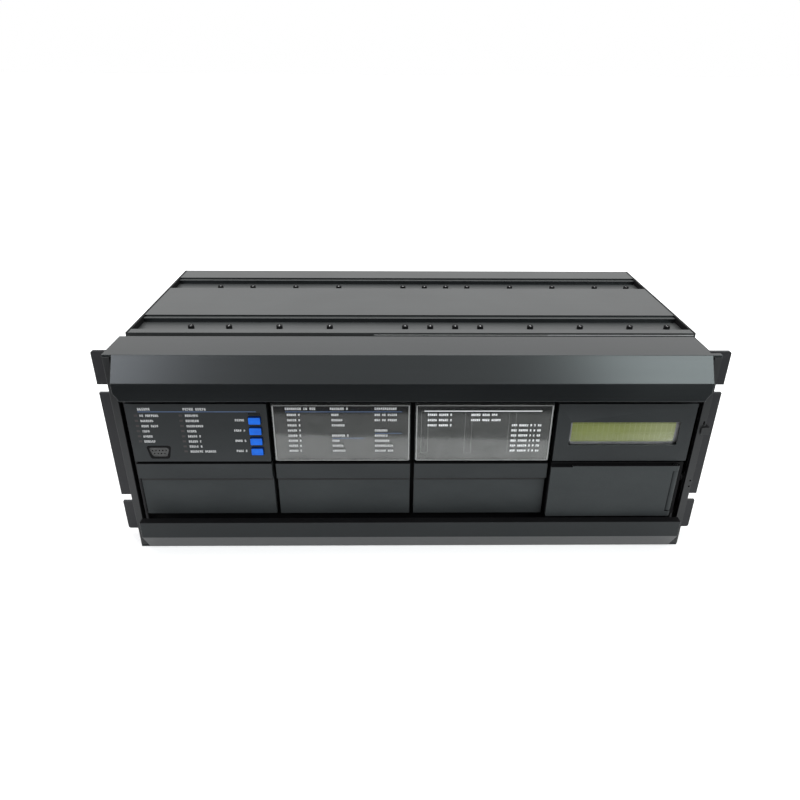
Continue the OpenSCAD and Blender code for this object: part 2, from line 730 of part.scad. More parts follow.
module blank_panel_middle() color("dimgray") placed() blank_panel(1);

module blank_panel_right() color("dimgray") placed() blank_panel(2);

// Display
module display_panel() color("dimgray") placed() difference() {
    tray(3, row_top, panel_front);
    along_y([panel_front - 1, panel_front + wall + 1])
        round_rect([lcd_x - lcd_w / 2, lcd_x + lcd_w / 2], [lcd_z - lcd_h / 2, lcd_z + lcd_h / 2], 0.8);
}

module around_lcd(rim, y)
    span([lcd_x - lcd_w / 2 - rim[0], lcd_x + lcd_w / 2 + rim[0]], y, [lcd_z - lcd_h / 2 - rim[1], lcd_z + lcd_h / 2 + rim[1]]);

module lcd_window() color("honeydew", 0.4) placed()
    around_lcd([pane_rim, pane_rim], [panel_front + wall, panel_front + wall + pane_t]);

module lcd_module() color("yellowgreen") placed() {
    back = panel_front + wall + pane_t;
    around_lcd(lcd_rim, [back, back + lcd_depth]);
}

// Serial port, its wide side up
module port_outline(w, h) hull() for (side = [-1, 1]) {
    translate([side * (w / 2 - 2), h / 2 - 2]) circle(2, $fn = 24);
    translate([side * (w / 2 - 3.6), 2 - h / 2]) circle(2, $fn = 24);
}

module port_shell() color("silver") placed() translate([port_x, 0, port_z]) difference() {
    union() {
        along_y([panel_front - 0.2, board_y]) port_outline(port_w - 2 * port_play, port_h - 2 * port_play);
        span([-port_flange[0] / 2, port_flange[0] / 2],
            [panel_front + wall + port_play, panel_front + wall + port_play + port_flange[2]],
            [-port_flange[1] / 2, port_flange[1] / 2]);
    }
    along_y([panel_front - 1, board_y + 1]) port_outline(port_w - 2 * port_play - 2 * port_wall, port_h - 2 * port_play - 2 * port_wall);
}

module port_insert() color("gray") placed() translate([port_x, 0, port_z]) difference() {
    along_y([panel_front + 0.4, board_y]) port_outline(port_w - 2 * port_play - 2 * port_wall, port_h - 2 * port_play - 2 * port_wall);
    for (row = [0, 1], k = [0:4 - row])
        translate([(k - 2 + row / 2) * pin_pitch, panel_front, (0.5 - row) * pin_pitch]) rotate([-90, 0, 0])
            cylinder(h = 5, d = pin_hole);
}

// Push-buttons
module status_board() color("darkgreen") placed()
    span([-panel_x + wall + 0.5, -panel_x + panel_w - wall - 0.5], [board_y, board_y + board_t],
        [row_top - row_h + wall + 0.5, row_top - wall - 0.5]);

module push_switches() color("black") placed() for (k = [0:3])
    translate([button_x, 0, button_first - k * button_pitch]) difference() {
        span([-4, 4], [board_y - switch_h, board_y], [1 - button_pitch / 2, button_pitch / 2 - 1]);
        translate([0, board_y - switch_h - 1, 0]) rotate([-90, 0, 0]) cylinder(h = switch_h + 0.8, d = switch_well);
    }

module push_button(k) translate([button_x, 0, button_first - k * button_pitch]) {
    along_y([panel_front - button_reach, panel_front + wall + run_gap])
        round_rect([-button_w / 2, button_w / 2], [-button_h / 2, button_h / 2], 0.8);
    along_y([panel_front + wall + run_gap, panel_front + wall + run_gap + button_flange[1]])
        round_rect([-button_w / 2 - button_flange[0] / 2, button_w / 2 + button_flange[0] / 2],
            [-button_flange[2] / 2, button_flange[2] / 2], 0.8);
    translate([0, panel_front + wall + run_gap, 0]) rotate([-90, 0, 0])
        cylinder(h = stem_end - panel_front - wall - run_gap, d = button_stem_d);
}

module reset_button() color("dodgerblue") placed() push_button(0);

module user_button_1() color("dodgerblue") placed() push_button(1);

module user_button_2() color("dodgerblue") placed() push_button(2);

module user_button_3() color("dodgerblue") placed() push_button(3);

// Keypad behind its door
module at_keypad_axis(z) translate([keypad_axis_x, keypad_axis_y, z]) children();

module keypad_base() color("dimgray") placed() difference() {
    union() {
        tray(3, row_low, keypad_seat);
        at_keypad_axis(keypad_door_low + knuckle_end + run_gap)
            cylinder(h = keypad_door_top - keypad_door_low - 2 * knuckle_end - 2 * run_gap, r = barrel_r - run_gap / 4);
        span([keypad_axis_x - barrel_r / 2, keypad_axis_x + barrel_r / 2], [keypad_axis_y, keypad_seat + wall],
            [keypad_door_low + knuckle_end + run_gap, keypad_door_top - knuckle_end - run_gap]);
    }
    at_keypad_axis(keypad_door_low) cylinder(h = knuckle_end + 5, d = keypad_pin_d + 2 * pin_play);
    at_keypad_axis(keypad_door_top - knuckle_end - 5) cylinder(h = knuckle_end + 6, d = keypad_pin_d + 2 * pin_play);
}

module keypad_mat() color("black") placed() {
    left = keypad_left + 8;
    right = keypad_axis_x - 9;
    top = row_low - 6;
    low = row_low - row_h + 8;
    span([left, right], [keypad_seat - mat_t, keypad_seat], [low, top]);
    for (u = [0:4], v = [0:3]) {
        x = left + (u + 0.5) * (right - left) / 5;
        z = low + (v + 0.5) * (top - low) / 4;
        along_y([keypad_seat - mat_t - key_rise, keypad_seat - mat_t]) round_rect([x - 6, x + 6], [z - 3, z + 3], 1);
    }
}

module keypad_door() color("dimgray") placed() difference() {
    union() {
        along_y([keypad_front, keypad_front + keypad_door_t])
            round_rect([keypad_left - 1, keypad_axis_x], [keypad_door_low, keypad_door_top], 0.6);
        for (z = [keypad_door_low, keypad_door_top - knuckle_end])
            at_keypad_axis(z) cylinder(h = knuckle_end, r = barrel_r);
    }
    span([keypad_axis_x - barrel_r - run_gap, keypad_axis_x + barrel_r], [keypad_front - 1, keypad_axis_y + barrel_r],
        [keypad_door_low + knuckle_end, keypad_door_top - knuckle_end]);
    span([keypad_left - 2, keypad_left + 16], [keypad_front - 1, keypad_front + keypad_door_t + 1],
        [keypad_door_top - 0.9, keypad_door_top + 1]);
    at_keypad_axis(keypad_door_low - 1) cylinder(h = keypad_door_top - keypad_door_low + 2, d = keypad_pin_d);
}

module keypad_pins() color("silver") placed() {
    at_keypad_axis(keypad_door_low) cylinder(h = knuckle_end + 4, d = keypad_pin_d);
    at_keypad_axis(keypad_door_top - knuckle_end - 4) cylinder(h = knuckle_end + 4, d = keypad_pin_d);
}

// Latch
module latch_slide() color("silver") placed() {
    difference() {
        span([latch_in, latch_out], latch_y, latch_ends);
        for (z = rivet_z) along_x([latch_in - 1, latch_out + 1])
            round_rect([(latch_y[0] + latch_y[1]) / 2 - rivet_d / 2 - run_gap, (latch_y[0] + latch_y[1]) / 2 + rivet_d / 2 + run_gap],
                [z - rivet_d / 2 - run_gap, z + rivet_d / 2 + latch_travel + run_gap], rivet_d / 2);
    }
    thumb_y = -rail_reach - run_gap;
    span([latch_out, door_x + tab_reach], tab_y, [latch_z - tab_h / 2, latch_z + tab_h / 2]);
    span([door_x + run_gap, door_x + tab_reach], [thumb_y - thumb_t, tab_y[1]], [latch_z - tab_h / 2, latch_z + tab_h / 2]);
    span([door_x - thumb_over, door_x + tab_reach], [thumb_y - thumb_t, thumb_y], [latch_z - tab_h / 2, latch_z + tab_h / 2]);
    for (z = hook_z) {
        span([latch_in, latch_out], [latch_y[1], finger_y + finger[1]], [z - hook_h / 2, z + hook_h / 2]);
        span([latch_out - finger[0], latch_out], [finger_y, finger_y + finger[1]], [z - hook_h / 2 - finger[2], z + hook_h / 2]);
    }
}

module latch_rivets() color("silver") placed()
    for (z = rivet_z) translate([0, (latch_y[0] + latch_y[1]) / 2, z]) rotate([0, 90, 0]) {
        translate([0, 0, latch_in - run_gap - 1.2]) cylinder(h = 1.2, d = rivet_head);
        translate([0, 0, latch_in - run_gap - 1.2]) cylinder(h = door_x - door_t - latch_in + run_gap + 1.2, d = rivet_d);
        translate([0, 0, latch_out + run_gap]) cylinder(h = door_x - door_t - latch_out - run_gap, d = rivet_head);
    }

module latch_keepers() color("silver") placed() for (z = hook_z) {
    top = z - hook_h / 2 - finger[2] - keeper_gap;
    difference() {
        span([inner_x - keeper_t, inner_x], [keeper_front, case_front + keeper_seat], [top - keeper_h, top]);
        span([inner_x - keeper_t - 1, inner_x + 1], [finger_y - keeper_gap, finger_y + finger[1] + keeper_gap],
            [top - latch_travel - keeper_gap, top + 1]);
    }
}

chassis_top();
chassis_bottom();
left_side_plate();
right_side_plate();
left_rack_bracket();
right_rack_bracket();
bracket_screws();
guide_screws();
card_guides();
backplane();
bus_sockets();
rear_panel();
rear_screws();
terminal_blocks();
terminal_screws();
power_module();
processor_module();
comms_module();
input_modules();
contact_modules();
ejector_clips();
upper_hinge_arm();
lower_hinge_arm();
hinge_washers();
latch_keepers();
top_visor();
bottom_visor();
left_rail();
right_rail();
carrier_plate();
hinge_pins();
latch_rivets();
status_panel();
lamp_panel_middle();
lamp_panel_right();
display_panel();
blank_panel_left();
blank_panel_middle();
blank_panel_right();
keypad_base();
keypad_mat();
lamps();
label_middle();
label_right();
cover_middle();
cover_right();
lcd_module();
lcd_window();
port_shell();
port_insert();
status_board();
push_switches();
latch_slide();
reset_button();
user_button_1();
user_button_2();
user_button_3();
keypad_door();
keypad_pins();
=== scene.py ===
import bpy, json, math, random
from mathutils import Matrix, Vector


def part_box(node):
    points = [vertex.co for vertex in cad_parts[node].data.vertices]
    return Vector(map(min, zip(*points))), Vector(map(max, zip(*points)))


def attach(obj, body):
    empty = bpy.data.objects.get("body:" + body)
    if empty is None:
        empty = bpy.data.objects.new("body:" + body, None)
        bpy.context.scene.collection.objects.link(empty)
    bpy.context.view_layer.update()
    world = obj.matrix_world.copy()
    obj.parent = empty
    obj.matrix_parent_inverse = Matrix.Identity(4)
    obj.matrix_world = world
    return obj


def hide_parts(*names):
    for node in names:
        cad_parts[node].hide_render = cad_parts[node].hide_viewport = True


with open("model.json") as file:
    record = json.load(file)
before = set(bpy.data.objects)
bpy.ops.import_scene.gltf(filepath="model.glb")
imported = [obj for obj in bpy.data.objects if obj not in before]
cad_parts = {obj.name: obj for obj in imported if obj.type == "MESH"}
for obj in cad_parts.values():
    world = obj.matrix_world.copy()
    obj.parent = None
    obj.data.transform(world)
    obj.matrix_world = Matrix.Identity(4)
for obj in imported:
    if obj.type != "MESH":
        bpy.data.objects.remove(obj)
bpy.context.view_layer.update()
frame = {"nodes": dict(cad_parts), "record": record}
nodes = frame["nodes"]
bodyOf = {node: body for body, members in frame["record"]["behaviour"]["bodies"].items() for node in members}
mm = 0.001
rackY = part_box("left_rack_bracket")[0].y  # front face of the rack brackets
midZ = (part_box("chassis_top")[1].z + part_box("chassis_bottom")[0].z) / 2  # mid-height of the case
print("frame loaded:", len(nodes), "nodes")


def place(x, y, z):  # millimetres from the rack plane and mid-height, to metres
    return Vector((x * mm, rackY + y * mm, midZ + z * mm))


def cornersOf(node):  # a node's box in millimetres from the rack plane and mid-height
    return [(corner - Vector((0, rackY, midZ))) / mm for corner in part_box(node)]


# small helpers for node trees
def startMaterial(name):
    material = bpy.data.materials.new(name)
    material.use_nodes = True
    tree = material.node_tree
    shader = tree.nodes["Principled BSDF"]
    coords = tree.nodes.new("ShaderNodeTexCoord").outputs["Object"]
    return material, tree, shader, coords


def stretched(tree, coords, scale, turn=(0, 0, 0)):
    mapping = tree.nodes.new("ShaderNodeMapping")
    mapping.inputs["Scale"].default_value = scale
    mapping.inputs["Rotation"].default_value = turn
    tree.links.new(coords, mapping.inputs["Vector"])
    return mapping.outputs["Vector"]


def noise(tree, coords, scale, detail=3.0, roughness=0.5):
    texture = tree.nodes.new("ShaderNodeTexNoise")
    texture.inputs["Scale"].default_value = scale
    texture.inputs["Detail"].default_value = detail
    texture.inputs["Roughness"].default_value = roughness
    tree.links.new(coords, texture.inputs["Vector"])
    return texture.outputs["Fac"]


def ramp(tree, value, stops):
    band = tree.nodes.new("ShaderNodeValToRGB")
    while len(band.color_ramp.elements) < len(stops):
        band.color_ramp.elements.new(0.5)
    for element, (position, colour) in zip(band.color_ramp.elements, stops):
        element.position = position
        element.color = (*colour, 1)
    tree.links.new(value, band.inputs["Fac"])
    return band.outputs["Color"]


def spread(tree, value, low, high):  # two tones over the middle of a noise
    return ramp(tree, value, [(0.3, low), (0.7, high)])


def grey(value):
    return (value, value, value)


def linked(tree, value, socket):  # a socket's value, or a link to it
    if isinstance(value, bpy.types.NodeSocket):
        tree.links.new(value, socket)
    else:
        socket.default_value = (*value, 1) if isinstance(value, tuple) else value


def mixed(tree, factor, first, second, blend="MIX"):
    mix = tree.nodes.new("ShaderNodeMix")
    mix.data_type = "RGBA"
    mix.blend_type = blend
    for value, socket in ((factor, mix.inputs[0]), (first, mix.inputs[6]), (second, mix.inputs[7])):
        linked(tree, value, socket)
    return mix.outputs[2]


def reckon(tree, operation, first, second):
    step = tree.nodes.new("ShaderNodeMath")
    step.operation = operation
    for value, socket in ((first, step.inputs[0]), (second, step.inputs[1])):
        linked(tree, value, socket)
    return step.outputs[0]


def setRough(tree, shader, value, limits):
    tree.links.new(spread(tree, value, grey(limits[0]), grey(limits[1])), shader.inputs["Roughness"])


def addBump(tree, shader, height, strength, distance):
    bump = tree.nodes.new("ShaderNodeBump")
    bump.inputs["Strength"].default_value = strength
    bump.inputs["Distance"].default_value = distance
    tree.links.new(height, bump.inputs["Height"])
    tree.links.new(bump.outputs["Normal"], shader.inputs["Normal"])


def edgeMask(tree, radius):  # bright where the surface turns within the radius
    bevel = tree.nodes.new("ShaderNodeBevel")
    bevel.samples = 4
    bevel.inputs["Radius"].default_value = radius
    geometry = tree.nodes.new("ShaderNodeNewGeometry")
    dot = tree.nodes.new("ShaderNodeVectorMath")
    dot.operation = "DOT_PRODUCT"
    tree.links.new(bevel.outputs["Normal"], dot.inputs[0])
    tree.links.new(geometry.outputs["Normal"], dot.inputs[1])
    return ramp(tree, dot.outputs["Value"], [(0.75, grey(1)), (0.97, grey(0))])


# painted sheet and extrusions: fine grain, drawn lines along X, light wear at the edges
paintCoat = {"edge": 0.7 * mm, "deep": 0.1 * mm, "lineTones": (0.5, 1.3)}


def paintedMetal(recipe):
    material, tree, shader, coords = startMaterial(recipe["name"])
    lines = noise(tree, stretched(tree, coords, recipe["lines"]), 1.0, 4.0, 0.6)
    grain = noise(tree, coords, recipe["grain"], 2.0, 0.6)
    clouds = noise(tree, coords, recipe["clouds"], 3.0, 0.55)
    tone = spread(tree, clouds, recipe["dark"], recipe["light"])
    drawn = spread(tree, lines, *(grey(share) for share in paintCoat["lineTones"]))
    tone = mixed(tree, recipe["drawn"], tone, drawn, "MULTIPLY")
    rubbed = reckon(tree, "MULTIPLY", grain, recipe["wear"])
    wearAndHighlight = reckon(tree, "MULTIPLY", edgeMask(tree, paintCoat["edge"]), rubbed)
    tree.links.new(mixed(tree, wearAndHighlight, tone, recipe["bare"]), shader.inputs["Base Color"])
    setRough(tree, shader, mixed(tree, 0.5, grain, lines), recipe["rough"])
    addBump(tree, shader, mixed(tree, recipe["lineShare"], grain, lines), recipe["bump"], paintCoat["deep"])
    shader.inputs["Specular IOR Level"].default_value = recipe["gloss"]
    shader.inputs["Specular Tint"].default_value = (*recipe["sheen"], 1)
    return material


caseFinish = {
    "name": "caseBlack", "dark": (0.030, 0.031, 0.031), "light": (0.041, 0.043, 0.043),
    "bare": (0.2, 0.2, 0.2), "lines": (6, 900, 900), "grain": 2600, "clouds": 14, "rough": (0.37, 0.43),
    "bump": 0.05, "lineShare": 0.3, "drawn": 0.1, "wear": 0.35, "gloss": 0.6, "sheen": (0.96, 1.0, 1.0)}
visorFinish = {
    "name": "visorBlack", "dark": (0.0058, 0.0066, 0.0072), "light": (0.0085, 0.0095, 0.0102),
    "bare": (0.09, 0.095, 0.1), "lines": (5, 700, 700), "grain": 2600, "clouds": 11, "rough": (0.22, 0.27),
    "bump": 0.03, "lineShare": 0.3, "drawn": 0.1, "wear": 0.3, "gloss": 0.45, "sheen": (0.92, 0.98, 1.0)}
# a glossier copy for the visor's top faces, a painted sheen
visorTopSheenFinish = {**visorFinish, "name": "visorTopSheen", "gloss": 0.56}
visorLowFinish = {**visorFinish, "name": "visorLowBlack", "gloss": 0.37}
bracketFinish = {
    "name": "bracketBlack", "dark": (0.012, 0.012, 0.0135), "light": (0.018, 0.018, 0.0195),
    "bare": (0.14, 0.14, 0.14), "lines": (90, 90, 90), "grain": 1800, "clouds": 20, "rough": (0.42, 0.55),
    "bump": 0.2, "lineShare": 0.2, "drawn": 0.2, "wear": 0.4, "gloss": 0.4, "sheen": (0.97, 0.97, 1.0)}
railFinish = {
    "name": "railBlack", "dark": (0.018, 0.0185, 0.019), "light": (0.025, 0.0255, 0.026),
    "bare": (0.12, 0.12, 0.12), "lines": (90, 90, 5), "grain": 2400, "clouds": 16, "rough": (0.34, 0.42),
    "bump": 0.08, "lineShare": 0.3, "drawn": 0.15, "wear": 0.35, "gloss": 0.42, "sheen": (0.97, 0.98, 1.0)}
# near-black paint for the carrier plate, port shell, keypad tray and screw heads, also used as painted shade
# on faces in the gaps and hollows
blackAndShadeFinish = {
    "name": "carrierBlack", "dark": (0.0025, 0.0025, 0.003), "light": (0.004, 0.004, 0.0045),
    "bare": (0.03, 0.03, 0.03), "lines": (60, 60, 60), "grain": 1500, "clouds": 20, "rough": (0.6, 0.75),
    "bump": 0.2, "lineShare": 0.2, "drawn": 0.2, "wear": 0.2, "gloss": 0.15, "sheen": (1, 1, 1)}
caseBlack = paintedMetal(caseFinish)
visorBlack = paintedMetal(visorFinish)
visorTopSheen = paintedMetal(visorTopSheenFinish)
visorLowBlack = paintedMetal(visorLowFinish)
bracketBlack = paintedMetal(bracketFinish)
railBlack = paintedMetal(railFinish)
carrierBlack = paintedMetal(blackAndShadeFinish)

# moulded plastic: fine spark-eroded texture, faint flow clouds, handling marks in the gloss
plasticSkin = {"edge": 0.5 * mm, "deep": 0.08 * mm, "flow": (1, 1, 2.2), "speckle": 0.3}


def mouldedPlastic(recipe):
    material, tree, shader, coords = startMaterial(recipe["name"])
    texture = noise(tree, coords, recipe["grain"], 2.0, 0.65)
    flow = noise(tree, stretched(tree, coords, plasticSkin["flow"]), recipe["clouds"], 3.0, 0.5)
    tone = spread(tree, flow, recipe["dark"], recipe["light"])
    specks = ramp(tree, texture, [(0.25, grey(0.55)), (0.75, grey(1.35))])
    tone = mixed(tree, plasticSkin["speckle"], tone, specks, "MULTIPLY")
    rubbed = reckon(tree, "MULTIPLY", edgeMask(tree, plasticSkin["edge"]), recipe["wear"])
    tree.links.new(mixed(tree, rubbed, tone, recipe["bare"]), shader.inputs["Base Color"])
    marks = noise(tree, coords, recipe["clouds"] * 3, 5.0, 0.6)
    setRough(tree, shader, mixed(tree, 0.5, texture, marks), recipe["rough"])
    addBump(tree, shader, texture, recipe["bump"], plasticSkin["deep"])
    shader.inputs["Specular IOR Level"].default_value = recipe["gloss"]
    shader.inputs["Specular Tint"].default_value = (*recipe.get("sheen", (1, 1, 1)), 1)
    return material


panelFinish = {
    "name": "panelPlastic", "dark": (0.0125, 0.0145, 0.0155), "light": (0.0175, 0.020, 0.0212),
    "bare": (0.065, 0.073, 0.077), "grain": 2200, "clouds": 18, "rough": (0.34, 0.44), "bump": 0.2,
    "wear": 0.4, "gloss": 0.4, "sheen": (0.95, 0.98, 1.0)}
blankFinish = {
    "name": "blankPlastic", "dark": (0.0345, 0.038, 0.0395), "light": (0.0425, 0.0465, 0.048),
    "bare": (0.085, 0.092, 0.096), "grain": 2200, "clouds": 18, "rough": (0.44, 0.54), "bump": 0.2,
    "wear": 0.4, "gloss": 0.24, "sheen": (0.93, 0.99, 1.0)}
stripShadedFinish = {
    **blankFinish, "name": "stripShadedPlastic", "dark": (0.0285, 0.0305, 0.032), "light": (0.035, 0.0375, 0.039)}
insertFinish = {
    "name": "portPlastic", "dark": (0.05, 0.05, 0.05), "light": (0.075, 0.075, 0.074),
    "bare": (0.1, 0.1, 0.1), "grain": 2500, "clouds": 200, "rough": (0.4, 0.55), "bump": 0.2,
    "wear": 0.3, "gloss": 0.4}
bezelFinish = {
    "name": "bezelGrey", "dark": (0.2, 0.2, 0.21), "light": (0.27, 0.27, 0.28),
    "bare": (0.32, 0.32, 0.33), "grain": 2600, "clouds": 150, "rough": (0.35, 0.5), "bump": 0.1,
    "wear": 0.3, "gloss": 0.5}
# near-black plastic for parts inside the case, also used for painted shade strips
innerAndShadeFinish = {
    "name": "innerPlasticAndShade", "dark": (0.010, 0.010, 0.011), "light": (0.017, 0.017, 0.018),
    "bare": (0.05, 0.05, 0.05), "grain": 1600, "clouds": 25, "rough": (0.5, 0.65), "bump": 0.3,
    "wear": 0.3, "gloss": 0.4}
terminalFinish = {
    "name": "terminalPlastic", "dark": (0.016, 0.017, 0.018), "light": (0.026, 0.027, 0.028),
    "bare": (0.08, 0.08, 0.08), "grain": 1500, "clouds": 30, "rough": (0.42, 0.6), "bump": 0.3,
    "wear": 0.5, "gloss": 0.5}
blueFinish = {
    "name": "buttonBlue", "dark": (0.002, 0.11, 0.63), "light": (0.003, 0.165, 0.83),
    "bare": (0.03, 0.26, 0.9), "grain": 3000, "clouds": 120, "rough": (0.26, 0.4), "bump": 0.12,
    "wear": 0.2, "gloss": 0.3}
navyShadeFinish = {
    "name": "buttonNavy", "dark": (0.0015, 0.018, 0.125), "light": (0.003, 0.03, 0.18),
    "bare": (0.01, 0.07, 0.36), "grain": 3000, "clouds": 120, "rough": (0.3, 0.45), "bump": 0.12,
    "wear": 0.2, "gloss": 0.3}
ejectorFinish = {
    "name": "ejectorNylon", "dark": (0.52, 0.5, 0.45), "light": (0.66, 0.64, 0.58),
    "bare": (0.75, 0.73, 0.68), "grain": 1800, "clouds": 60, "rough": (0.4, 0.6), "bump": 0.2,
    "wear": 0.3, "gloss": 0.5}
lampFinish = {
    "name": "lampLens", "dark": (0.027, 0.022, 0.022), "light": (0.042, 0.034, 0.034),
    "bare": (0.07, 0.055, 0.055), "grain": 4000, "clouds": 300, "rough": (0.3, 0.45), "bump": 0.1,
    "wear": 0.3, "gloss": 0.5}
cardFinish = {
    "name": "labelCard", "dark": (0.011, 0.0115, 0.012), "light": (0.016, 0.0165, 0.017),
    "bare": (0.03, 0.03, 0.03), "grain": 1200, "clouds": 60, "rough": (0.5, 0.7), "bump": 0.2,
    "wear": 0.2, "gloss": 0.3}
paleCardFinish = {
    **cardFinish, "name": "labelCardPale", "dark": (0.021, 0.0228, 0.0222), "light": (0.029, 0.031, 0.030),
    "bare": (0.05, 0.05, 0.05)}
panelPlastic = mouldedPlastic(panelFinish)
innerPlasticAndShade = mouldedPlastic(innerAndShadeFinish)
terminalPlastic = mouldedPlastic(terminalFinish)
buttonBlue = mouldedPlastic(blueFinish)
buttonNavy = mouldedPlastic(navyShadeFinish)
ejectorNylon = mouldedPlastic(ejectorFinish)
lampLens = mouldedPlastic(lampFinish)
labelCard = mouldedPlastic(cardFinish)
labelCardPale = mouldedPlastic(paleCardFinish)
blankPlastic = mouldedPlastic(blankFinish)
stripShadedPlastic = mouldedPlastic(stripShadedFinish)
portPlastic = mouldedPlastic(insertFinish)
bezelGrey = mouldedPlastic(bezelFinish)

# plated metal: cloudy tint and fine scratches
scratchDepth = 0.05 * mm


def platedMetal(recipe):
    material, tree, shader, coords = startMaterial(recipe["name"])
    clouds = noise(tree, coords, recipe["clouds"], 4.0, 0.6)
    scratch = noise(tree, stretched(tree, coords, recipe["scratch"]), 1.0, 5.0, 0.7)
    tree.links.new(spread(tree, clouds, recipe["dark"], recipe["light"]), shader.inputs["Base Color"])
    setRough(tree, shader, mixed(tree, 0.5, clouds, scratch), recipe["rough"])
    addBump(tree, shader, scratch, recipe["bump"], scratchDepth)
    shader.inputs["Metallic"].default_value = 1.0
    return material


zincFinish = {
    "name": "zincSteel", "dark": (0.42, 0.42, 0.43), "light": (0.6, 0.6, 0.6), "clouds": 90,
    "scratch": (2500, 200, 200), "rough": (0.25, 0.42), "bump": 0.15}
blackenedFinish = {
    "name": "blackenedSteel", "dark": (0.018, 0.018, 0.019), "light": (0.05, 0.05, 0.052), "clouds": 120,
    "scratch": (1800, 1800, 300), "rough": (0.3, 0.5), "bump": 0.2}
nickelFinish = {
    "name": "nickelBrass", "dark": (0.5, 0.44, 0.3), "light": (0.68, 0.62, 0.48), "clouds": 160,
    "scratch": (900, 900, 900), "rough": (0.22, 0.4), "bump": 0.1}
zincSteel = platedMetal(zincFinish)
blackenedSteel = platedMetal(blackenedFinish)
nickelBrass = platedMetal(nickelFinish)


# circuit board: green lacquer over a grid of tracks and pads
def circuitBoard(recipe):
    material, tree, shader, coords = startMaterial(recipe["name"])
    tracks = tree.nodes.new("ShaderNodeTexBrick")
    tracks.inputs["Scale"].default_value = recipe["tracks"]
    tracks.inputs["Mortar Size"].default_value = recipe["trackWide"]
    onEdge = stretched(tree, coords, (1, 1, 1), (0, math.radians(90), 0))  # the boards stand on edge
    tree.links.new(onEdge, tracks.inputs["Vector"])
    pads = tree.nodes.new("ShaderNodeTexVoronoi")
    pads.inputs["Scale"].default_value = recipe["pads"]
    tree.links.new(coords, pads.inputs["Vector"])
    lacquer = spread(tree, noise(tree, coords, recipe["clouds"], 3.0), recipe["dark"], recipe["light"])
    lines = ramp(tree, tracks.outputs["Fac"], [(0.4, grey(0)), (0.6, grey(0.6))])
    lacquer = mixed(tree, lines, lacquer, recipe["track"])
    dots = ramp(tree, pads.outputs["Distance"], [(0.12, grey(1)), (0.16, grey(0))])
    tree.links.new(mixed(tree, dots, lacquer, recipe["pad"]), shader.inputs["Base Color"])
    tree.links.new(ramp(tree, dots, [(0, grey(0.38)), (1, grey(0.25))]), shader.inputs["Roughness"])
    addBump(tree, shader, dots, recipe["bump"], recipe["deep"])
    return material


boardFinish = {
    "name": "boardGreen", "dark": (0.010, 0.075, 0.03), "light": (0.018, 0.11, 0.045),
    "track": (0.03, 0.17, 0.07), "pad": (0.5, 0.48, 0.42), "tracks": 90, "trackWide": 0.06, "pads": 260,
    "clouds": 40, "bump": 0.3, "deep": 0.1 * mm}
boardGreen = circuitBoard(boardFinish)

# clear acrylic: a thin see-through mirror with faint smears, denser along its polished edges
acrylic = {"ior": 1.49, "edge": 0.6 * mm, "smearShape": (1, 1, 1.6), "ripple": 0.25, "bump": 0.006,
           "deep": 0.4 * mm}


def clearAcrylic(recipe):
    material, tree, shader, coords = startMaterial(recipe["name"])
    smears = noise(tree, stretched(tree, coords, acrylic["smearShape"]), recipe["smears"], 4.0, 0.6)
    film = spread(tree, smears, *(grey(share) for share in recipe["film"]))
    facing = tree.nodes.new("ShaderNodeFresnel")
    facing.inputs["IOR"].default_value = acrylic["ior"]
    film = reckon(tree, "ADD", film, reckon(tree, "MULTIPLY", facing.outputs["Fac"], recipe["facing"]))
    edged = mixed(tree, edgeMask(tree, acrylic["edge"]), film, grey(recipe["edge"]))
    tree.links.new(edged, shader.inputs["Alpha"])
    tree.links.new(spread(tree, smears, recipe["dark"], recipe["light"]), shader.inputs["Base Color"])
    setRough(tree, shader, smears, recipe["rough"])
    shader.inputs["Metallic"].default_value = 1.0
    ripple = noise(tree, coords, recipe["smears"] * acrylic["ripple"], 1.0)
    addBump(tree, shader, ripple, acrylic["bump"], acrylic["deep"])
    return material


coverFinish = {
    "name": "coverAcrylic", "film": (0.029, 0.044), "facing": 0.92, "edge": 0.4, "smears": 60,
    "rough": (0.05, 0.08), "dark": (0.84, 0.86, 0.84), "light": (0.94, 0.95, 0.94)}
paneFinish = {
    "name": "paneAcrylic", "film": (0.006, 0.012), "facing": 0.25, "edge": 0.12, "smears": 80,
    "rough": (0.04, 0.09), "dark": (0.86, 0.87, 0.85), "light": (0.94, 0.95, 0.94)}
coverAcrylic = clearAcrylic(coverFinish)
paneAcrylic = clearAcrylic(paneFinish)


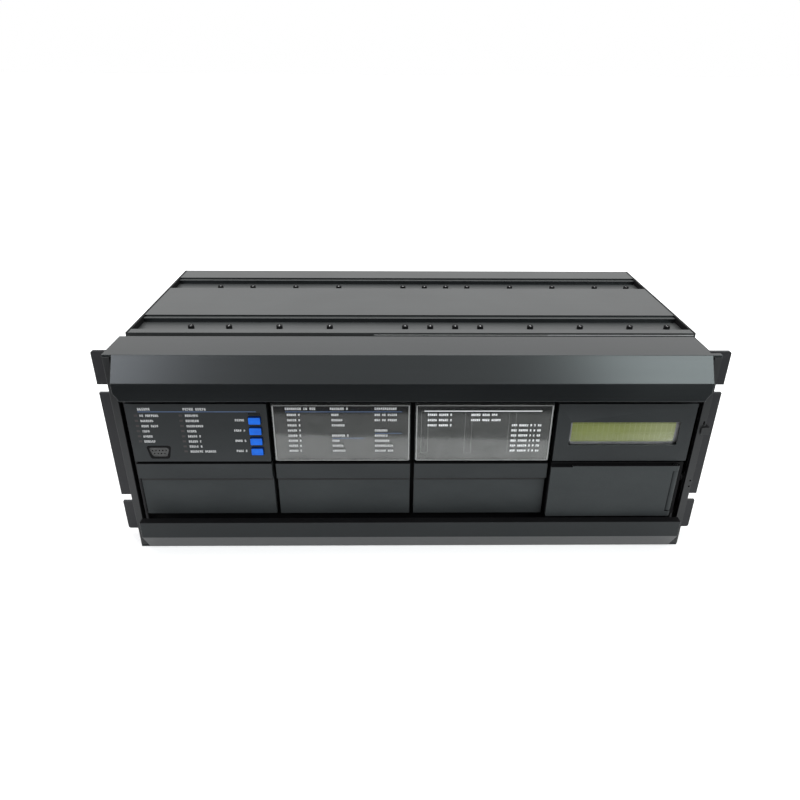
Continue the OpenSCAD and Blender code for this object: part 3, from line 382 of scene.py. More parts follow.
# display glass: yellow-green with faint character cells
def displayGlass(recipe):
    material, tree, shader, coords = startMaterial(recipe["name"])
    cells = tree.nodes.new("ShaderNodeTexBrick")
    cells.offset = 0.0
    cells.inputs["Scale"].default_value = 1.0
    cells.inputs["Mortar Size"].default_value = recipe["cellGap"]
    cells.inputs["Brick Width"].default_value = recipe["cell"][0]
    cells.inputs["Row Height"].default_value = recipe["cell"][1]
    upright = stretched(tree, coords, (1, 1, 1), (math.radians(90), 0, 0))
    tree.links.new(upright, cells.inputs["Vector"])
    along = tree.nodes.new("ShaderNodeSeparateXYZ")
    tree.links.new(coords, along.inputs[0])
    span = tree.nodes.new("ShaderNodeMapRange")
    span.inputs["From Min"].default_value, span.inputs["From Max"].default_value = recipe["ends"]
    tree.links.new(along.outputs["X"], span.inputs["Value"])
    stops = [(0.05, recipe["dark"]), (0.5, recipe["middle"]), (0.85, recipe["light"])]
    tone = ramp(tree, span.outputs["Result"], stops)
    clouds = noise(tree, stretched(tree, coords, (1, 1, 3)), recipe["clouds"], 3.0)
    tone = mixed(tree, recipe["cloudy"], tone, spread(tree, clouds, grey(0.7), grey(1.2)), "MULTIPLY")
    lattice = ramp(tree, cells.outputs["Fac"], [(0.4, grey(0.8)), (0.6, grey(1.1))])
    tone = mixed(tree, recipe["lattice"], tone, lattice, "MULTIPLY")
    tree.links.new(tone, shader.inputs["Base Color"])
    rough = ramp(tree, cells.outputs["Fac"], [(0.4, grey(0.25)), (0.6, grey(0.32))])
    tree.links.new(rough, shader.inputs["Roughness"])
    addBump(tree, shader, noise(tree, coords, recipe["grain"], 2.0), recipe["bump"], recipe["deep"])
    return material


displayFinish = {
    "name": "displayGreen", "dark": (0.198, 0.23, 0.047), "middle": (0.22, 0.252, 0.06),
    "light": (0.295, 0.325, 0.135), "cell": (4.1 * mm, 7.2 * mm), "cellGap": 0.35 * mm, "lattice": 0.05,
    "clouds": 22, "cloudy": 0.2, "grain": 900, "bump": 0.05, "deep": 0.05 * mm,
    "ends": (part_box("lcd_window")[0].x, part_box("lcd_window")[1].x)}
displayGreen = displayGlass(displayFinish)

# printing ink, a little uneven; the same flat colours also serve for painted highlights
inkCoat = {"grain": 1500, "matt": 700, "rough": (0.45, 0.6)}


def inkAndHighlight(name, dark, light):
    material, tree, shader, coords = startMaterial(name)
    tone = spread(tree, noise(tree, coords, inkCoat["grain"], 2.0), dark, light)
    tree.links.new(tone, shader.inputs["Base Color"])
    setRough(tree, shader, noise(tree, coords, inkCoat["matt"], 2.0), inkCoat["rough"])
    return material


whiteInk = inkAndHighlight("whiteInk", (0.78, 0.79, 0.8), (0.9, 0.91, 0.92))
dullInkAndHighlight = inkAndHighlight("dullInkAndHighlight", (0.5, 0.505, 0.51), (0.62, 0.625, 0.63))
blueInk = inkAndHighlight("blueInk", (0.09, 0.16, 0.32), (0.14, 0.22, 0.4))
paleInk = inkAndHighlight("paleInk", (0.2, 0.205, 0.2), (0.28, 0.285, 0.28))
rimInk = inkAndHighlight("rimInk", (0.28, 0.285, 0.28), (0.4, 0.405, 0.4))
print("materials made:", len(bpy.data.materials))


# small helpers for pieces
def deselectAll():
    if bpy.context.object and bpy.context.object.mode != "OBJECT":
        bpy.ops.object.mode_set(mode="OBJECT")
    bpy.ops.object.select_all(action="DESELECT")


def makeActive(piece):
    deselectAll()
    piece.select_set(True)
    bpy.context.view_layer.objects.active = piece


def joined(pieces, name):
    makeActive(pieces[0])
    for piece in pieces:
        piece.select_set(True)
    bpy.ops.object.join()
    whole = bpy.context.object
    whole.name = name
    return whole


def ridesOn(piece, body, material):
    piece.data.materials.clear()
    piece.data.materials.append(material)
    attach(piece, body)
    return piece


def paintFaces(piece, material, chosen):  # a second finish on some faces
    piece.data.materials.append(material)
    for polygon in piece.data.polygons:
        if chosen(polygon):
            polygon.material_index = len(piece.data.materials) - 1


# CAD nodes that keep their shape get a softened copy, so that edges catch the light
softening = {"weld": 0.002 * mm, "flatWithin": math.radians(0.5), "roundFrom": math.radians(25),
             "smoothTo": math.radians(60)}


def softened(node, radius, material, segments=2):
    words = node.split("_")
    name = words[0] + "".join(word.capitalize() for word in words[1:])
    piece = bpy.data.objects.new(name, nodes[node].data.copy())
    bpy.context.scene.collection.objects.link(piece)
    makeActive(piece)
    bpy.ops.object.mode_set(mode="EDIT")
    bpy.ops.mesh.select_all(action="SELECT")
    bpy.ops.mesh.remove_doubles(threshold=softening["weld"])
    bpy.ops.mesh.customdata_custom_splitnormals_clear()
    bpy.ops.mesh.dissolve_limited(angle_limit=softening["flatWithin"])
    bpy.ops.object.mode_set(mode="OBJECT")
    rounding = piece.modifiers.new("rounding", "BEVEL")
    rounding.width = radius
    rounding.segments = segments
    rounding.limit_method = "ANGLE"
    rounding.angle_limit = softening["roundFrom"]
    bpy.ops.object.modifier_apply(modifier="rounding")
    bpy.ops.object.shade_smooth_by_angle(angle=softening["smoothTo"])
    flats = piece.modifiers.new("flats", "WEIGHTED_NORMAL")
    flats.keep_sharp = True
    bpy.ops.object.modifier_apply(modifier="flats")
    ridesOn(piece, bodyOf[node], material)
    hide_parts(node)
    return piece


edgeRadii = {"sheet": 0.4 * mm, "extrusion": 0.35 * mm, "panel": 0.3 * mm, "button": 0.6 * mm,
             "small": 0.15 * mm}
square, near, slant, half = 0.9, 0.8, 0.7, 0.5  # how squarely a face looks along an axis

# door frame
visor = softened("top_visor", edgeRadii["sheet"], visorBlack, 3)
# the top faces get the glossier copy of the paint, a painted sheen that makes them lighter
paintFaces(visor, visorTopSheen, lambda face: face.normal.z > square)
visor = softened("bottom_visor", edgeRadii["sheet"], visorLowBlack, 3)
# its faces that look up or back are painted near-black, painted shade under the upper visor
paintFaces(visor, carrierBlack, lambda face: max(face.normal.y, face.normal.z) > slant)
# the rails' inner and back faces are painted near-black, painted shade in the gaps beside the panels
for node, inward in (("left_rail", 1), ("right_rail", -1)):
    rail = softened(node, edgeRadii["sheet"], railBlack)
    paintFaces(rail, carrierBlack, lambda face: face.normal.x * inward > near or face.normal.y > near)

# case and rack brackets
grooveFrom = rackY + 40 * mm  # the grooves' back walls lie behind this
# the grooves' back walls are painted with the darker visor paint, painted shade
for node in ("chassis_top", "chassis_bottom"):
    profile = softened(node, edgeRadii["extrusion"], caseBlack)
    paintFaces(profile, visorBlack, lambda face: face.normal.y < -near and face.center.y > grooveFrom)
softened("rear_panel", edgeRadii["extrusion"], caseBlack)
# the side plates' tops and inner faces are painted near-black, painted shade
for node, inward in (("left_side_plate", 1), ("right_side_plate", -1)):
    side = softened(node, edgeRadii["extrusion"], caseBlack)
    paintFaces(side, carrierBlack, lambda face: max(face.normal.z, face.normal.x * inward) > near)
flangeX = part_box("right_rail")[1].x  # the brackets' folded flanges lie inside this, in the dark
# the brackets' inner flange faces are painted near-black, painted shade in the gap beside the door
for node, inward in (("left_rack_bracket", 1), ("right_rack_bracket", -1)):
    bracket = softened(node, edgeRadii["sheet"], bracketBlack)
    paintFaces(bracket, carrierBlack,
               lambda face: face.normal.x * inward > near and abs(face.center.x) < flangeX)

# upper panels; the edges of the display's window are let out a little
for node in ("status_panel", "lamp_panel_middle", "lamp_panel_right"):
    softened(node, edgeRadii["panel"], panelPlastic)
displayFrame = softened("display_panel", edgeRadii["panel"], panelPlastic)
windowRim = 2.5  # part of the window behind the panel
opening = {"reach": 0.6 * mm, "left": -0.6 * mm, "right": 1.3 * mm, "low": -1.4 * mm}
low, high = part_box("lcd_window")
x0, x1 = low.x + windowRim * mm, high.x - windowRim * mm
z0, z1 = low.z + windowRim * mm, high.z - windowRim * mm
for vertex in displayFrame.data.vertices:
    x, z = vertex.co.x, vertex.co.z
    reach = opening["reach"]
    if x0 - reach < x < x1 + reach and z0 - reach < z < z1 + reach:
        if abs(x - x0) < reach:
            vertex.co.x += opening["left"]
        elif abs(x - x1) < reach:
            vertex.co.x += opening["right"]
        if abs(z - z0) < reach:
            vertex.co.z += opening["low"]

# lower panels, keypad and buttons
blankPanels = ("blank_panel_left", "blank_panel_middle", "blank_panel_right")
# the upper strips are painted a darker copy of the blank plastic, painted shade
stripHigh = 13.5  # upper strip of a blank panel
# the top faces of the blank panels and the keypad door are painted near-black, painted shade in the gap
# between the rows
for node in (*blankPanels, "keypad_door"):
    panel = softened(node, edgeRadii["panel"], blankPlastic)
    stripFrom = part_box(node)[1].z - stripHigh * mm
    if node in blankPanels:
        paintFaces(panel, stripShadedPlastic, lambda face: face.center.z > stripFrom)
    paintFaces(panel, carrierBlack, lambda face: face.normal.z > slant)
tray = softened("keypad_base", edgeRadii["panel"], carrierBlack)
barrelStep = 0.2 * mm
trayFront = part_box("keypad_mat")[1].y - barrelStep  # the hinge barrel stands before the tray
paintFaces(tray, blankPlastic, lambda face: face.center.y < trayFront)
# all but the buttons' front faces are painted dark navy, painted shade round the caps
for node in ("reset_button", "user_button_1", "user_button_2", "user_button_3"):
    button = softened(node, edgeRadii["button"], buttonBlue, 3)
    paintFaces(button, buttonNavy, lambda face: face.normal.y > -square)

# terminals, screws, latch and what stands behind the panels
for node in ("terminal_blocks", "keypad_mat"):
    softened(node, edgeRadii["panel"], terminalPlastic)
for node in ("bracket_screws", "rear_screws"):
    softened(node, edgeRadii["small"], blackenedSteel, 1)
# the slide is blackened so that it stays dark in the gap beside the door, painted shade
latch = softened("latch_slide", edgeRadii["sheet"], blackenedSteel)
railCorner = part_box("right_rail")[0]  # the thumb plate lies over the rail
paintFaces(latch, railBlack, lambda face: face.center.x > railCorner.x and face.center.y < railCorner.y)
softened("port_shell", edgeRadii["small"], carrierBlack)
# the plate's front is near-black so that the gaps between the panels stay dark, painted shade
plate = softened("carrier_plate", edgeRadii["sheet"], carrierBlack)
paintFaces(plate, caseBlack, lambda face: face.normal.y > half)  # its back is painted as the case
display = softened("lcd_module", edgeRadii["small"], displayGreen)
paintFaces(display, boardGreen, lambda face: face.normal.y > -half)
print("edges softened")

# the rest of the CAD nodes stay as they are, with their own finish
finishOf = {
    innerPlasticAndShade: ("card_guides", "bus_sockets", "push_switches"),
    ejectorNylon: ("ejector_clips", "hinge_washers"),
    boardGreen: ("backplane", "power_module", "processor_module", "comms_module", "input_modules",
                 "contact_modules", "status_board"),
    zincSteel: ("latch_keepers", "hinge_pins", "keypad_pins"),
    blackenedSteel: ("upper_hinge_arm", "lower_hinge_arm", "latch_rivets"),
    nickelBrass: ("terminal_screws",),
    lampLens: ("lamps",),
    labelCard: ("label_middle",),
    labelCardPale: ("label_right",),
    portPlastic: ("port_insert",),
}
for material, names in finishOf.items():
    for node in names:
        nodes[node].data.materials.clear()
        nodes[node].data.materials.append(material)
print("CAD finishes set")

# clear covers and the display pane: rounded plates with a thin air gap behind them
clearPlates = {"round": 0.3 * mm, "gap": 0.12 * mm, "reach": 0.1 * mm}
clearOnes = (("cover_middle", coverAcrylic), ("cover_right", coverAcrylic), ("lcd_window", paneAcrylic))
for node, material in clearOnes:
    piece = softened(node, clearPlates["round"], material)
    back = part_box(node)[1].y
    for vertex in piece.data.vertices:
        if vertex.co.y > back - clearPlates["reach"]:
            vertex.co.y -= clearPlates["gap"]
print("clear plates made")

# guide screws: slotted pan heads in the grooves, their slot floors bright zinc as a painted glint
cardX = (-177.9, -147.4, -106.8, -66.1, -5.15, 15.2, 35.5, 55.8, 96.5, 137.1, 177.8, 208.2)
slotted = {"radius": 2.5, "high": 2.7, "sides": 24, "slot": 1.4, "rim": 0.25, "deep": 0.3, "round": 0.12,
           "stem": 1.5, "stemSides": 16, "reach": 5.5, "y": (45.95, 151.45), "floor": 82.7,
           "bright": (0.6, 0.1), "smoothTo": 40}


def slottedScrew():
    deselectAll()
    bpy.ops.mesh.primitive_cylinder_add(vertices=slotted["sides"], radius=slotted["radius"] * mm,
                                        depth=slotted["high"] * mm)
    screw = bpy.context.object
    bpy.ops.object.mode_set(mode="EDIT")
    for side in (-0.5, 0.5):
        bpy.ops.mesh.select_all(action="SELECT")
        bpy.ops.mesh.bisect(plane_co=(side * slotted["slot"] * mm, 0, 0), plane_no=(1, 0, 0))
    bpy.context.tool_settings.mesh_select_mode = (False, False, True)
    bpy.ops.mesh.select_all(action="DESELECT")
    bpy.ops.object.mode_set(mode="OBJECT")
    for polygon in screw.data.polygons:
        polygon.select = polygon.normal.z > square and abs(polygon.center.x) < slotted["slot"] / 4 * mm
    bpy.ops.object.mode_set(mode="EDIT")
    bpy.ops.mesh.inset(thickness=slotted["rim"] * mm)
    bpy.ops.mesh.extrude_region_move(TRANSFORM_OT_translate={"value": (0, 0, -slotted["deep"] * mm)})
    under = -(slotted["high"] + slotted["reach"]) / 2 * mm
    bpy.ops.mesh.primitive_cylinder_add(vertices=slotted["stemSides"], radius=slotted["stem"] * mm,
                                        depth=slotted["reach"] * mm, location=(0, 0, under))
    bpy.ops.object.mode_set(mode="OBJECT")
    rounding = screw.modifiers.new("rounding", "BEVEL")
    rounding.width = slotted["round"] * mm
    rounding.limit_method = "ANGLE"
    bpy.ops.object.modifier_apply(modifier="rounding")
    bpy.ops.object.shade_smooth_by_angle(angle=math.radians(slotted["smoothTo"]))
    return screw


pattern = slottedScrew()
heads = []
for upper in (1, -1):
    for x in cardX:
        for y in slotted["y"]:
            makeActive(pattern)
            bpy.ops.object.duplicate()
            screw = bpy.context.object
            screw.location = place(x, y, upper * (slotted["floor"] + slotted["high"] / 2))
            screw.rotation_euler = (0 if upper > 0 else math.pi, 0, 0)
            heads.append(screw)
makeActive(pattern)
bpy.ops.object.delete()
heads = joined(heads, "guideScrews")
bpy.ops.object.transform_apply(location=True, rotation=True, scale=True)
ridesOn(heads, bodyOf["guide_screws"], carrierBlack)
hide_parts("guide_screws")
# the slot floors are painted bright zinc, a painted highlight
z0, z1 = ((slotted["floor"] + slotted["high"] - under) * mm for under in slotted["bright"])
paintFaces(heads, zincSteel, lambda face: abs(face.normal.z) > square and z0 < abs(face.center.z - midZ) < z1)
print("guide screws made")

# rows of small marks that stand for printed words: a fine grid whose cells are partly taken away
letter = {"wide": 1.42, "high": 1.9, "thick": 0.03, "columns": 5, "rows": 5, "stem": 0.92, "bar": 0.75,
          "side": 0.68, "boldSide": 0.93}
dice = random.Random(7)
upright = (math.radians(90), 0, 0)
inkLift = 0.01  # ink stands this far off its ground
ruleSteps = 24  # faces along a rule


def markedCell(column, row, bold):  # a stem, three short bars and a broken right side
    if column < 2:
        return dice.random() < letter["stem"]
    if column == 2:
        return (bold or row % 2 == 0) and dice.random() < letter["bar"]
    return column == 3 and dice.random() < letter["boldSide" if bold else "side"]


def wordRow(x, y, z, words, size=1.0, bold=False):
    count = sum(words) + len(words) - 1
    cells = count * letter["columns"]
    wide, high = count * letter["wide"] * size, letter["high"] * size
    deselectAll()
    bpy.ops.mesh.primitive_grid_add(x_subdivisions=cells, y_subdivisions=letter["rows"], size=1,
                                    location=place(x + wide / 2, y, z), rotation=upright)
    row = bpy.context.object
    row.scale = (wide * mm, high * mm, 1)
    bpy.ops.object.transform_apply(location=True, rotation=True, scale=True)
    inked = []
    for length in words:
        inked += [True] * length + [False]
    corner = place(x, y, z - high / 2)
    for polygon in row.data.polygons:
        column = min(int((polygon.center.x - corner.x) / (wide * mm) * cells), cells - 1)
        line = min(int((polygon.center.z - corner.z) / (high * mm) * letter["rows"]), letter["rows"] - 1)
        kept = inked[column // letter["columns"]] and markedCell(column % letter["columns"], line, bold)
        polygon.select = not kept
    bpy.context.tool_settings.mesh_select_mode = (False, False, True)
    bpy.ops.object.mode_set(mode="EDIT")
    bpy.ops.mesh.delete(type="FACE")
    bpy.ops.object.mode_set(mode="OBJECT")
    return row


def wordColumn(column, y, top, pitch, bold):
    x, lines = column
    return [wordRow(x, y, top - k * pitch, words, 1.0, bold) for k, words in enumerate(lines) if words]


def ruleLine(x0, x1, y, z, high):
    deselectAll()
    bpy.ops.mesh.primitive_grid_add(x_subdivisions=ruleSteps, y_subdivisions=1, size=1,
                                    location=place((x0 + x1) / 2, y, z), rotation=upright)
    line = bpy.context.object
    line.scale = ((x1 - x0) * mm, high * mm, 1)
    bpy.ops.object.transform_apply(location=True, rotation=True, scale=True)
    return line


def frameLines(x0, x1, y, z0, z1, left, right, low, high):  # four strips inside a rectangle
    middle, tall = (z0 + z1) / 2, z1 - z0
    return [ruleLine(x0, x0 + left, y, middle, tall), ruleLine(x1 - right, x1, y, middle, tall),
            ruleLine(x0, x1, y, z0 + low / 2, low), ruleLine(x0, x1, y, z1 - high / 2, high)]


def joinMarks(rows, name, body, material):
    piece = joined(rows, name)
    depth = piece.modifiers.new("depth", "SOLIDIFY")
    depth.thickness = letter["thick"] * mm
    depth.offset = 1
    bpy.ops.object.modifier_apply(modifier="depth")
    bpy.ops.object.transform_apply(location=True, rotation=True, scale=True)
    bpy.context.scene.cursor.location = (0, 0, 0)
    bpy.ops.object.origin_set(type="ORIGIN_CURSOR")
    return ridesOn(piece, body, material)


# print on the status panel; a rule is its two ends, its height and its width
statusWords = {"y": -18.52, "top": 37.2, "pitch": 4.5, "head": 42.7, "headSize": 1.12,
               "heads": [(-206.7, [6]), (-172.8, [5, 5])],
               "left": (-205.8, [[2, 7], [7], [4, 4], [4], [5], [6]]),
               "middle": (-171.8, [[7], [7], [9], [5], [5, 1], [5, 1], [5, 1], [7, 6]]),
               "keys": (-127.6, 33.3, 9.03, [[5], [4, 1], [4, 1], [4, 1]]),
               "rule": (-206.8, -118.2, 40.5, 0.4)}
y = statusWords["y"]
rows = []
for x, words in statusWords["heads"]:
    rows.append(wordRow(x, y, statusWords["head"], words, statusWords["headSize"]))
for side in ("left", "middle"):
    rows += wordColumn(statusWords[side], y, statusWords["top"], statusWords["pitch"], False)
right, first, pitch, lines = statusWords["keys"]
for k, words in enumerate(lines):
    wide = (sum(words) + len(words) - 1) * letter["wide"]
    rows.append(wordRow(right - wide, y, first - k * pitch, words))
joinMarks(rows, "statusPrint", "front_door", dullInkAndHighlight)
x0, x1, z, high = statusWords["rule"]
joinMarks([ruleLine(x0, x1, y, z, high)], "statusRule", "front_door", blueInk)

# print on the two clear covers
coverY = (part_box("cover_middle")[0].y - rackY) / mm - inkLift
middleWords = {"top": 38.0, "pitch": 4.5, "head": 43.2, "headSize": 1.08,
               "heads": [(-96.3, [8, 2, 3]), (-62.6, [7, 1]), (-29.0, [11])],
               "left": (-95.2, [[5, 1]] * 8),
               "middle": (-61.7, [[4], [6], [7], None, [7, 1], [4], [6], [7]]),
               "right": (-29.0, [[3, 2, 5], [3, 2, 5], None, [7], [7], [8], [10], [6, 3]]),
               "rules": [(-96.3, -8.3, 40.6, 0.4), (-61.6, -37.5, 17.6, 0.35), (-29.0, -8.5, 22.0, 0.35)]}
rows = []
for x, words in middleWords["heads"]:
    rows.append(wordRow(x, coverY, middleWords["head"], words, middleWords["headSize"], True))
for side in ("left", "middle", "right"):
    rows += wordColumn(middleWords[side], coverY, middleWords["top"], middleWords["pitch"], True)
joinMarks(rows, "middlePrint", "front_door", dullInkAndHighlight)
rules = [ruleLine(x0, x1, coverY, z, high) for x0, x1, z, high in middleWords["rules"]]
joinMarks(rules, "middleRule", "front_door", blueInk)

rightWords = {"top": 38.0, "pitch": 4.5,
              "left": (11.3, [[5, 5, 1]] * 3),
              "middle": (44.2, [[5, 4, 3], [5, 4, 5]]),
              "right": (75.7, [None, None] + [[3, 5, 1, 1, 2]] * 6),
              "rule": (8.6, 97.7, 41.2, 0.8)}
rows = []
for side in ("left", "middle", "right"):
    rows += wordColumn(rightWords[side], coverY, rightWords["top"], rightWords["pitch"], True)
x0, x1, z, high = rightWords["rule"]
rows.append(ruleLine(x0, x1, coverY, z, high))
joinMarks(rows, "rightPrint", "front_door", whiteInk)

# frames round the lamps on the right card
lampFrame = {"x": (7.0, 40.5, 74.0), "half": 2.6, "level": 0.25, "z": (40.0, 3.5), "side": 0.24,
             "middle": 21.7, "high": 36.5}
cardY = (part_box("label_middle")[0].y - rackY) / mm - 2 * inkLift
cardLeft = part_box("label_right")[0].x / mm
frames = []
for x in lampFrame["x"]:
    x0, x1 = x + cardLeft - lampFrame["half"], x + cardLeft + lampFrame["half"]
    frames += [ruleLine(x0, x1, cardY, z, lampFrame["level"]) for z in lampFrame["z"]]
    for side in (x0, x1):
        frames.append(ruleLine(side - lampFrame["side"] / 2, side + lampFrame["side"] / 2, cardY,
                               lampFrame["middle"], lampFrame["high"]))
joinMarks(frames, "lampFrames", "front_door", paleInk)

# painted highlights along the rims of the covers
coverRim = {"inset": 0.4, "side": 0.8, "level": 0.45}
for node, name in (("cover_middle", "middleRim"), ("cover_right", "rightRim")):
    low, high = cornersOf(node)
    inset, side, level = coverRim["inset"], coverRim["side"], coverRim["level"]
    rims = frameLines(low.x + inset, high.x - inset, coverY, low.z + inset, high.z - inset,
                      side, side, level, level)
    joinMarks(rims, name, "front_door", rimInk)


# figures on the keys and on the terminal blocks
def numberMark(figure, size, at, turn):  # a figure made a mesh, then set in its place
    deselectAll()
    bpy.ops.object.text_add()
    mark = bpy.context.object
    mark.data.body = figure
    mark.data.size = size * mm
    mark.data.align_x = mark.data.align_y = "CENTER"
    mark.data.resolution_u = 2
    bpy.ops.object.convert(target="MESH")
    mark = bpy.context.object
    mark.location = at
    mark.rotation_euler = turn
    bpy.ops.object.transform_apply(location=True, rotation=True, scale=True)
    return mark


keyFigures = {"x": (118.3, 200.0), "z": (-48.2, -11.8), "columns": 5, "size": 4.0,
              "rows": ["0", "789", "456", "123"]}
keyY = (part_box("keypad_mat")[0].y - rackY) / mm - inkLift
x0, x1 = keyFigures["x"]
z0, z1 = keyFigures["z"]
keyWide, keyHigh = (x1 - x0) / keyFigures["columns"], (z1 - z0) / len(keyFigures["rows"])
figures = []
for row, keys in enumerate(keyFigures["rows"]):
    for column, figure in enumerate(keys):
        at = place(x0 + (column + 0.5) * keyWide, keyY, z0 + (row + 0.5) * keyHigh)
        figures.append(numberMark(figure, keyFigures["size"], at, upright))
joinMarks(figures, "keyFigures", "front_door", dullInkAndHighlight)

blockFigures = {"z": 58.2, "size": 3.6, "turn": (math.radians(90), 0, math.radians(180))}
blockY = (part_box("terminal_blocks")[1].y - rackY) / mm + inkLift
figures = []
for k, x in enumerate(cardX):
    at = place(x, blockY, blockFigures["z"])
    figures.append(numberMark(str(k + 1), blockFigures["size"], at, blockFigures["turn"]))
joinMarks(figures, "blockFigures", "case", dullInkAndHighlight)

# dark strips where the blank panels step back, painted shade under the upper strips
stepShade = {"recess": 4.0, "high": 4.1, "inset": 0.4, "under": 0.05}
stepShadeLines = []
for node in blankPanels:
    low, high = cornersOf(node)
    x0, x1 = low.x + stepShade["inset"], high.x - stepShade["inset"]
    y = low.y + stepShade["recess"] - inkLift
    z = high.z - stripHigh - stepShade["high"] / 2 - stepShade["under"]
    stepShadeLines.append(ruleLine(x0, x1, y, z, stepShade["high"]))
joinMarks(stepShadeLines, "stepShades", "front_door", innerPlasticAndShade)

# painted highlight along the case's front edge, brighter towards the right
jointHighlight = {"x": (-30.0, 221.0), "bright": 105.0, "y": 23.98, "z": 85.7, "high": 0.7}
x0, x1 = jointHighlight["x"]
line = ruleLine(x0, x1, jointHighlight["y"], jointHighlight["z"], jointHighlight["high"])
wearAndHighlight = joinMarks([line], "jointHighlight", "case", rimInk)
paintFaces(wearAndHighlight, dullInkAndHighlight, lambda face: face.center.x > jointHighlight["bright"] * mm)

# dark strips in the door's lower right corner, painted shade where the gap would show light
cornerGap = {"x": (214.0, 221.0), "y": (-16.2, -4.0), "z": -75.2, "high": 19.4}
x0, x1 = cornerGap["x"]
strips = [ruleLine(x0, x1, y, cornerGap["z"], cornerGap["high"]) for y in cornerGap["y"]]
joinMarks(strips, "cornerShadeStrips", "front_door", innerPlasticAndShade)

# pale edge round the display
displayEdge = {"inset": 0.1, "behind": 0.02, "left": 1.3, "right": 0.7, "low": 0.1, "high": 0.0}
low, high = cornersOf("lcd_window")
inset, y = displayEdge["inset"], high.y - displayEdge["behind"]
widths = [windowRim + displayEdge[side] for side in ("left", "right", "low", "high")]
strips = frameLines(low.x + inset, high.x - inset, y, low.z + inset, high.z - inset, *widths)
joinMarks(strips, "displayEdge", "front_door", bezelGrey)
print("printing made")

# studio: pale floor that runs out of sight, white surroundings, large soft lamps
studio = {"floor": 40.0, "floorTone": (0.8, 0.8, 0.8), "floorRough": 0.7, "floorGlow": 0.56,
          "mirroredGlow": 0.3, "worldLight": 0.5}
deselectAll()
bpy.ops.mesh.primitive_grid_add(x_subdivisions=8, y_subdivisions=8, size=studio["floor"], location=(0, 0, 0))
floor = bpy.context.object
floor.name = "studioFloor"
material, tree, shader, coords = startMaterial("floorPale")
shader.inputs["Base Color"].default_value = (*studio["floorTone"], 1)
shader.inputs["Roughness"].default_value = studio["floorRough"]
path = tree.nodes.new("ShaderNodeLightPath")
seen = reckon(tree, "MAXIMUM", path.outputs["Is Camera Ray"], path.outputs["Is Transmission Ray"])
seen = reckon(tree, "MULTIPLY", seen, studio["floorGlow"])
mirrored = reckon(tree, "MULTIPLY", path.outputs["Is Glossy Ray"], studio["mirroredGlow"])
shader.inputs["Emission Color"].default_value = (1, 1, 1, 1)
tree.links.new(reckon(tree, "ADD", seen, mirrored), shader.inputs["Emission Strength"])
floor.data.materials.append(material)

world = bpy.data.worlds.new("studioWorld")
bpy.context.scene.world = world
world.use_nodes = True
tree = world.node_tree
path = tree.nodes.new("ShaderNodeLightPath")
seen = reckon(tree, "MAXIMUM", path.outputs["Is Camera Ray"], path.outputs["Is Glossy Ray"])
seen = reckon(tree, "MAXIMUM", seen, path.outputs["Is Transmission Ray"])
tree.nodes["Background"].inputs["Color"].default_value = (1, 1, 1, 1)
strength = tree.nodes.new("ShaderNodeMapRange")
strength.inputs["To Min"].default_value = studio["worldLight"]
strength.inputs["To Max"].default_value = 1.0
tree.links.new(seen, strength.inputs["Value"])
tree.links.new(strength.outputs["Result"], tree.nodes["Background"].inputs["Strength"])

# dark, grey and pale cards on the floor in front, there only for what the gloss mirrors
cardRough = 0.9
cards = [
    {"name": "darkCard", "from": -0.352, "to": -1.8, "half": 1.6, "aside": 0.0, "lift": 0.0005, "turn": 0.0,
     "tone": (0.01, 0.01, 0.012)},
    {"name": "greyCard", "from": -0.297, "to": -0.40, "half": 1.2, "aside": 0.0, "lift": 0.0003, "turn": 2.6,
     "tone": (0.4, 0.4, 0.4)},
    {"name": "paleCard", "from": -0.42, "to": -0.75, "half": 0.4, "aside": 0.69, "lift": 0.0008, "turn": 0.0,
     "tone": (0.42, 0.44, 0.44)},
]
for entry in cards:
    deselectAll()
    middle = (entry["aside"], (entry["from"] + entry["to"]) / 2, entry["lift"])
    bpy.ops.mesh.primitive_grid_add(x_subdivisions=4, y_subdivisions=4, size=1, location=middle,
                                    rotation=(0, 0, math.radians(entry["turn"])))
    card = bpy.context.object
    card.name = entry["name"]
    card.scale = (2 * entry["half"], entry["from"] - entry["to"], 1)
    material, tree, shader, coords = startMaterial(entry["name"] + "Paper")
    shader.inputs["Base Color"].default_value = (*entry["tone"], 1)
    shader.inputs["Roughness"].default_value = cardRough
    card.data.materials.append(material)
    card.visible_camera = card.visible_diffuse = card.visible_transmission = card.visible_shadow = False

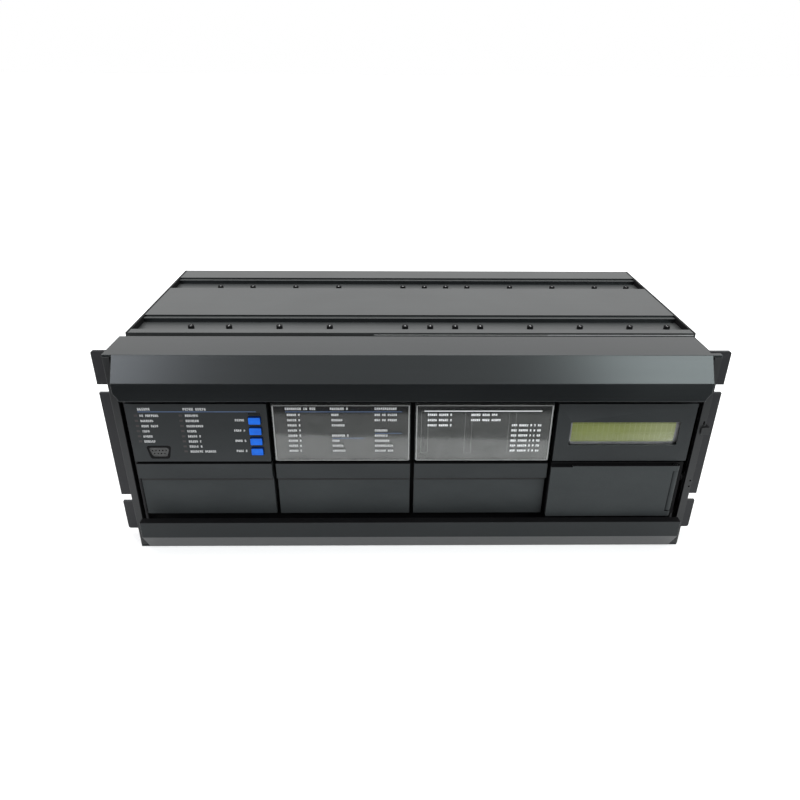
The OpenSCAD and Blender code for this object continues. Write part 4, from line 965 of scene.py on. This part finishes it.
lamps = [
    {"name": "overheadLamp", "at": (0.0, 0.5, 1.7), "aim": (0, 0, 0.1), "size": (1.8, 1.4),
     "watts": 23, "tint": (0.98, 1.0, 1.0)},
    {"name": "leftLamp", "at": (-0.95, -1.1, 1.08), "aim": (-0.1, -0.1, 0.1), "size": (0.55, 0.6),
     "watts": 6.2, "tint": (0.93, 0.94, 1.0)},
    {"name": "rightLamp", "at": (0.85, -1.12, 1.08), "aim": (0.1, -0.1, 0.1), "size": (0.6, 0.6),
     "watts": 8.8, "tint": (0.92, 1.0, 0.99)},
]
for lamp in lamps:
    deselectAll()
    bpy.ops.object.light_add(type="AREA", location=lamp["at"])
    light = bpy.context.object
    light.name = lamp["name"]
    light.data.shape = "RECTANGLE"
    light.data.size, light.data.size_y = lamp["size"]
    light.data.energy = lamp["watts"]
    light.data.color = lamp["tint"]
    light.rotation_euler = (Vector(lamp["aim"]) - Vector(lamp["at"])).to_track_quat("-Z", "Y").to_euler()
    light.visible_camera = False
print("studio lit")

# camera at the photograph's angle
view = {"at": (-17.1, -461.1, 276.6), "pitch": 27.06, "yaw": 0.93, "roll": 0.42, "lens": 29.925, "sensor": 36,
        "nearest": 0.01}
pitch, yaw, roll = (math.radians(view[turn]) for turn in ("pitch", "yaw", "roll"))
forward = Vector((math.sin(yaw) * math.cos(pitch), math.cos(yaw) * math.cos(pitch), -math.sin(pitch)))
right = Vector((math.cos(yaw), -math.sin(yaw), 0))
up = right.cross(forward)
tiltedRight = math.cos(roll) * right + math.sin(roll) * up
tiltedUp = -math.sin(roll) * right + math.cos(roll) * up
deselectAll()
bpy.ops.object.camera_add()
camera = bpy.context.object
camera.name = "photoCamera"
camera.data.lens = view["lens"]
camera.data.sensor_width = view["sensor"]
camera.data.clip_start = view["nearest"]
camera.matrix_world = Matrix((tiltedRight, tiltedUp, -forward)).transposed().to_4x4()
camera.location = place(*view["at"])
bpy.context.scene.camera = camera
bpy.context.scene.view_settings.view_transform = "Standard"
print("camera set")
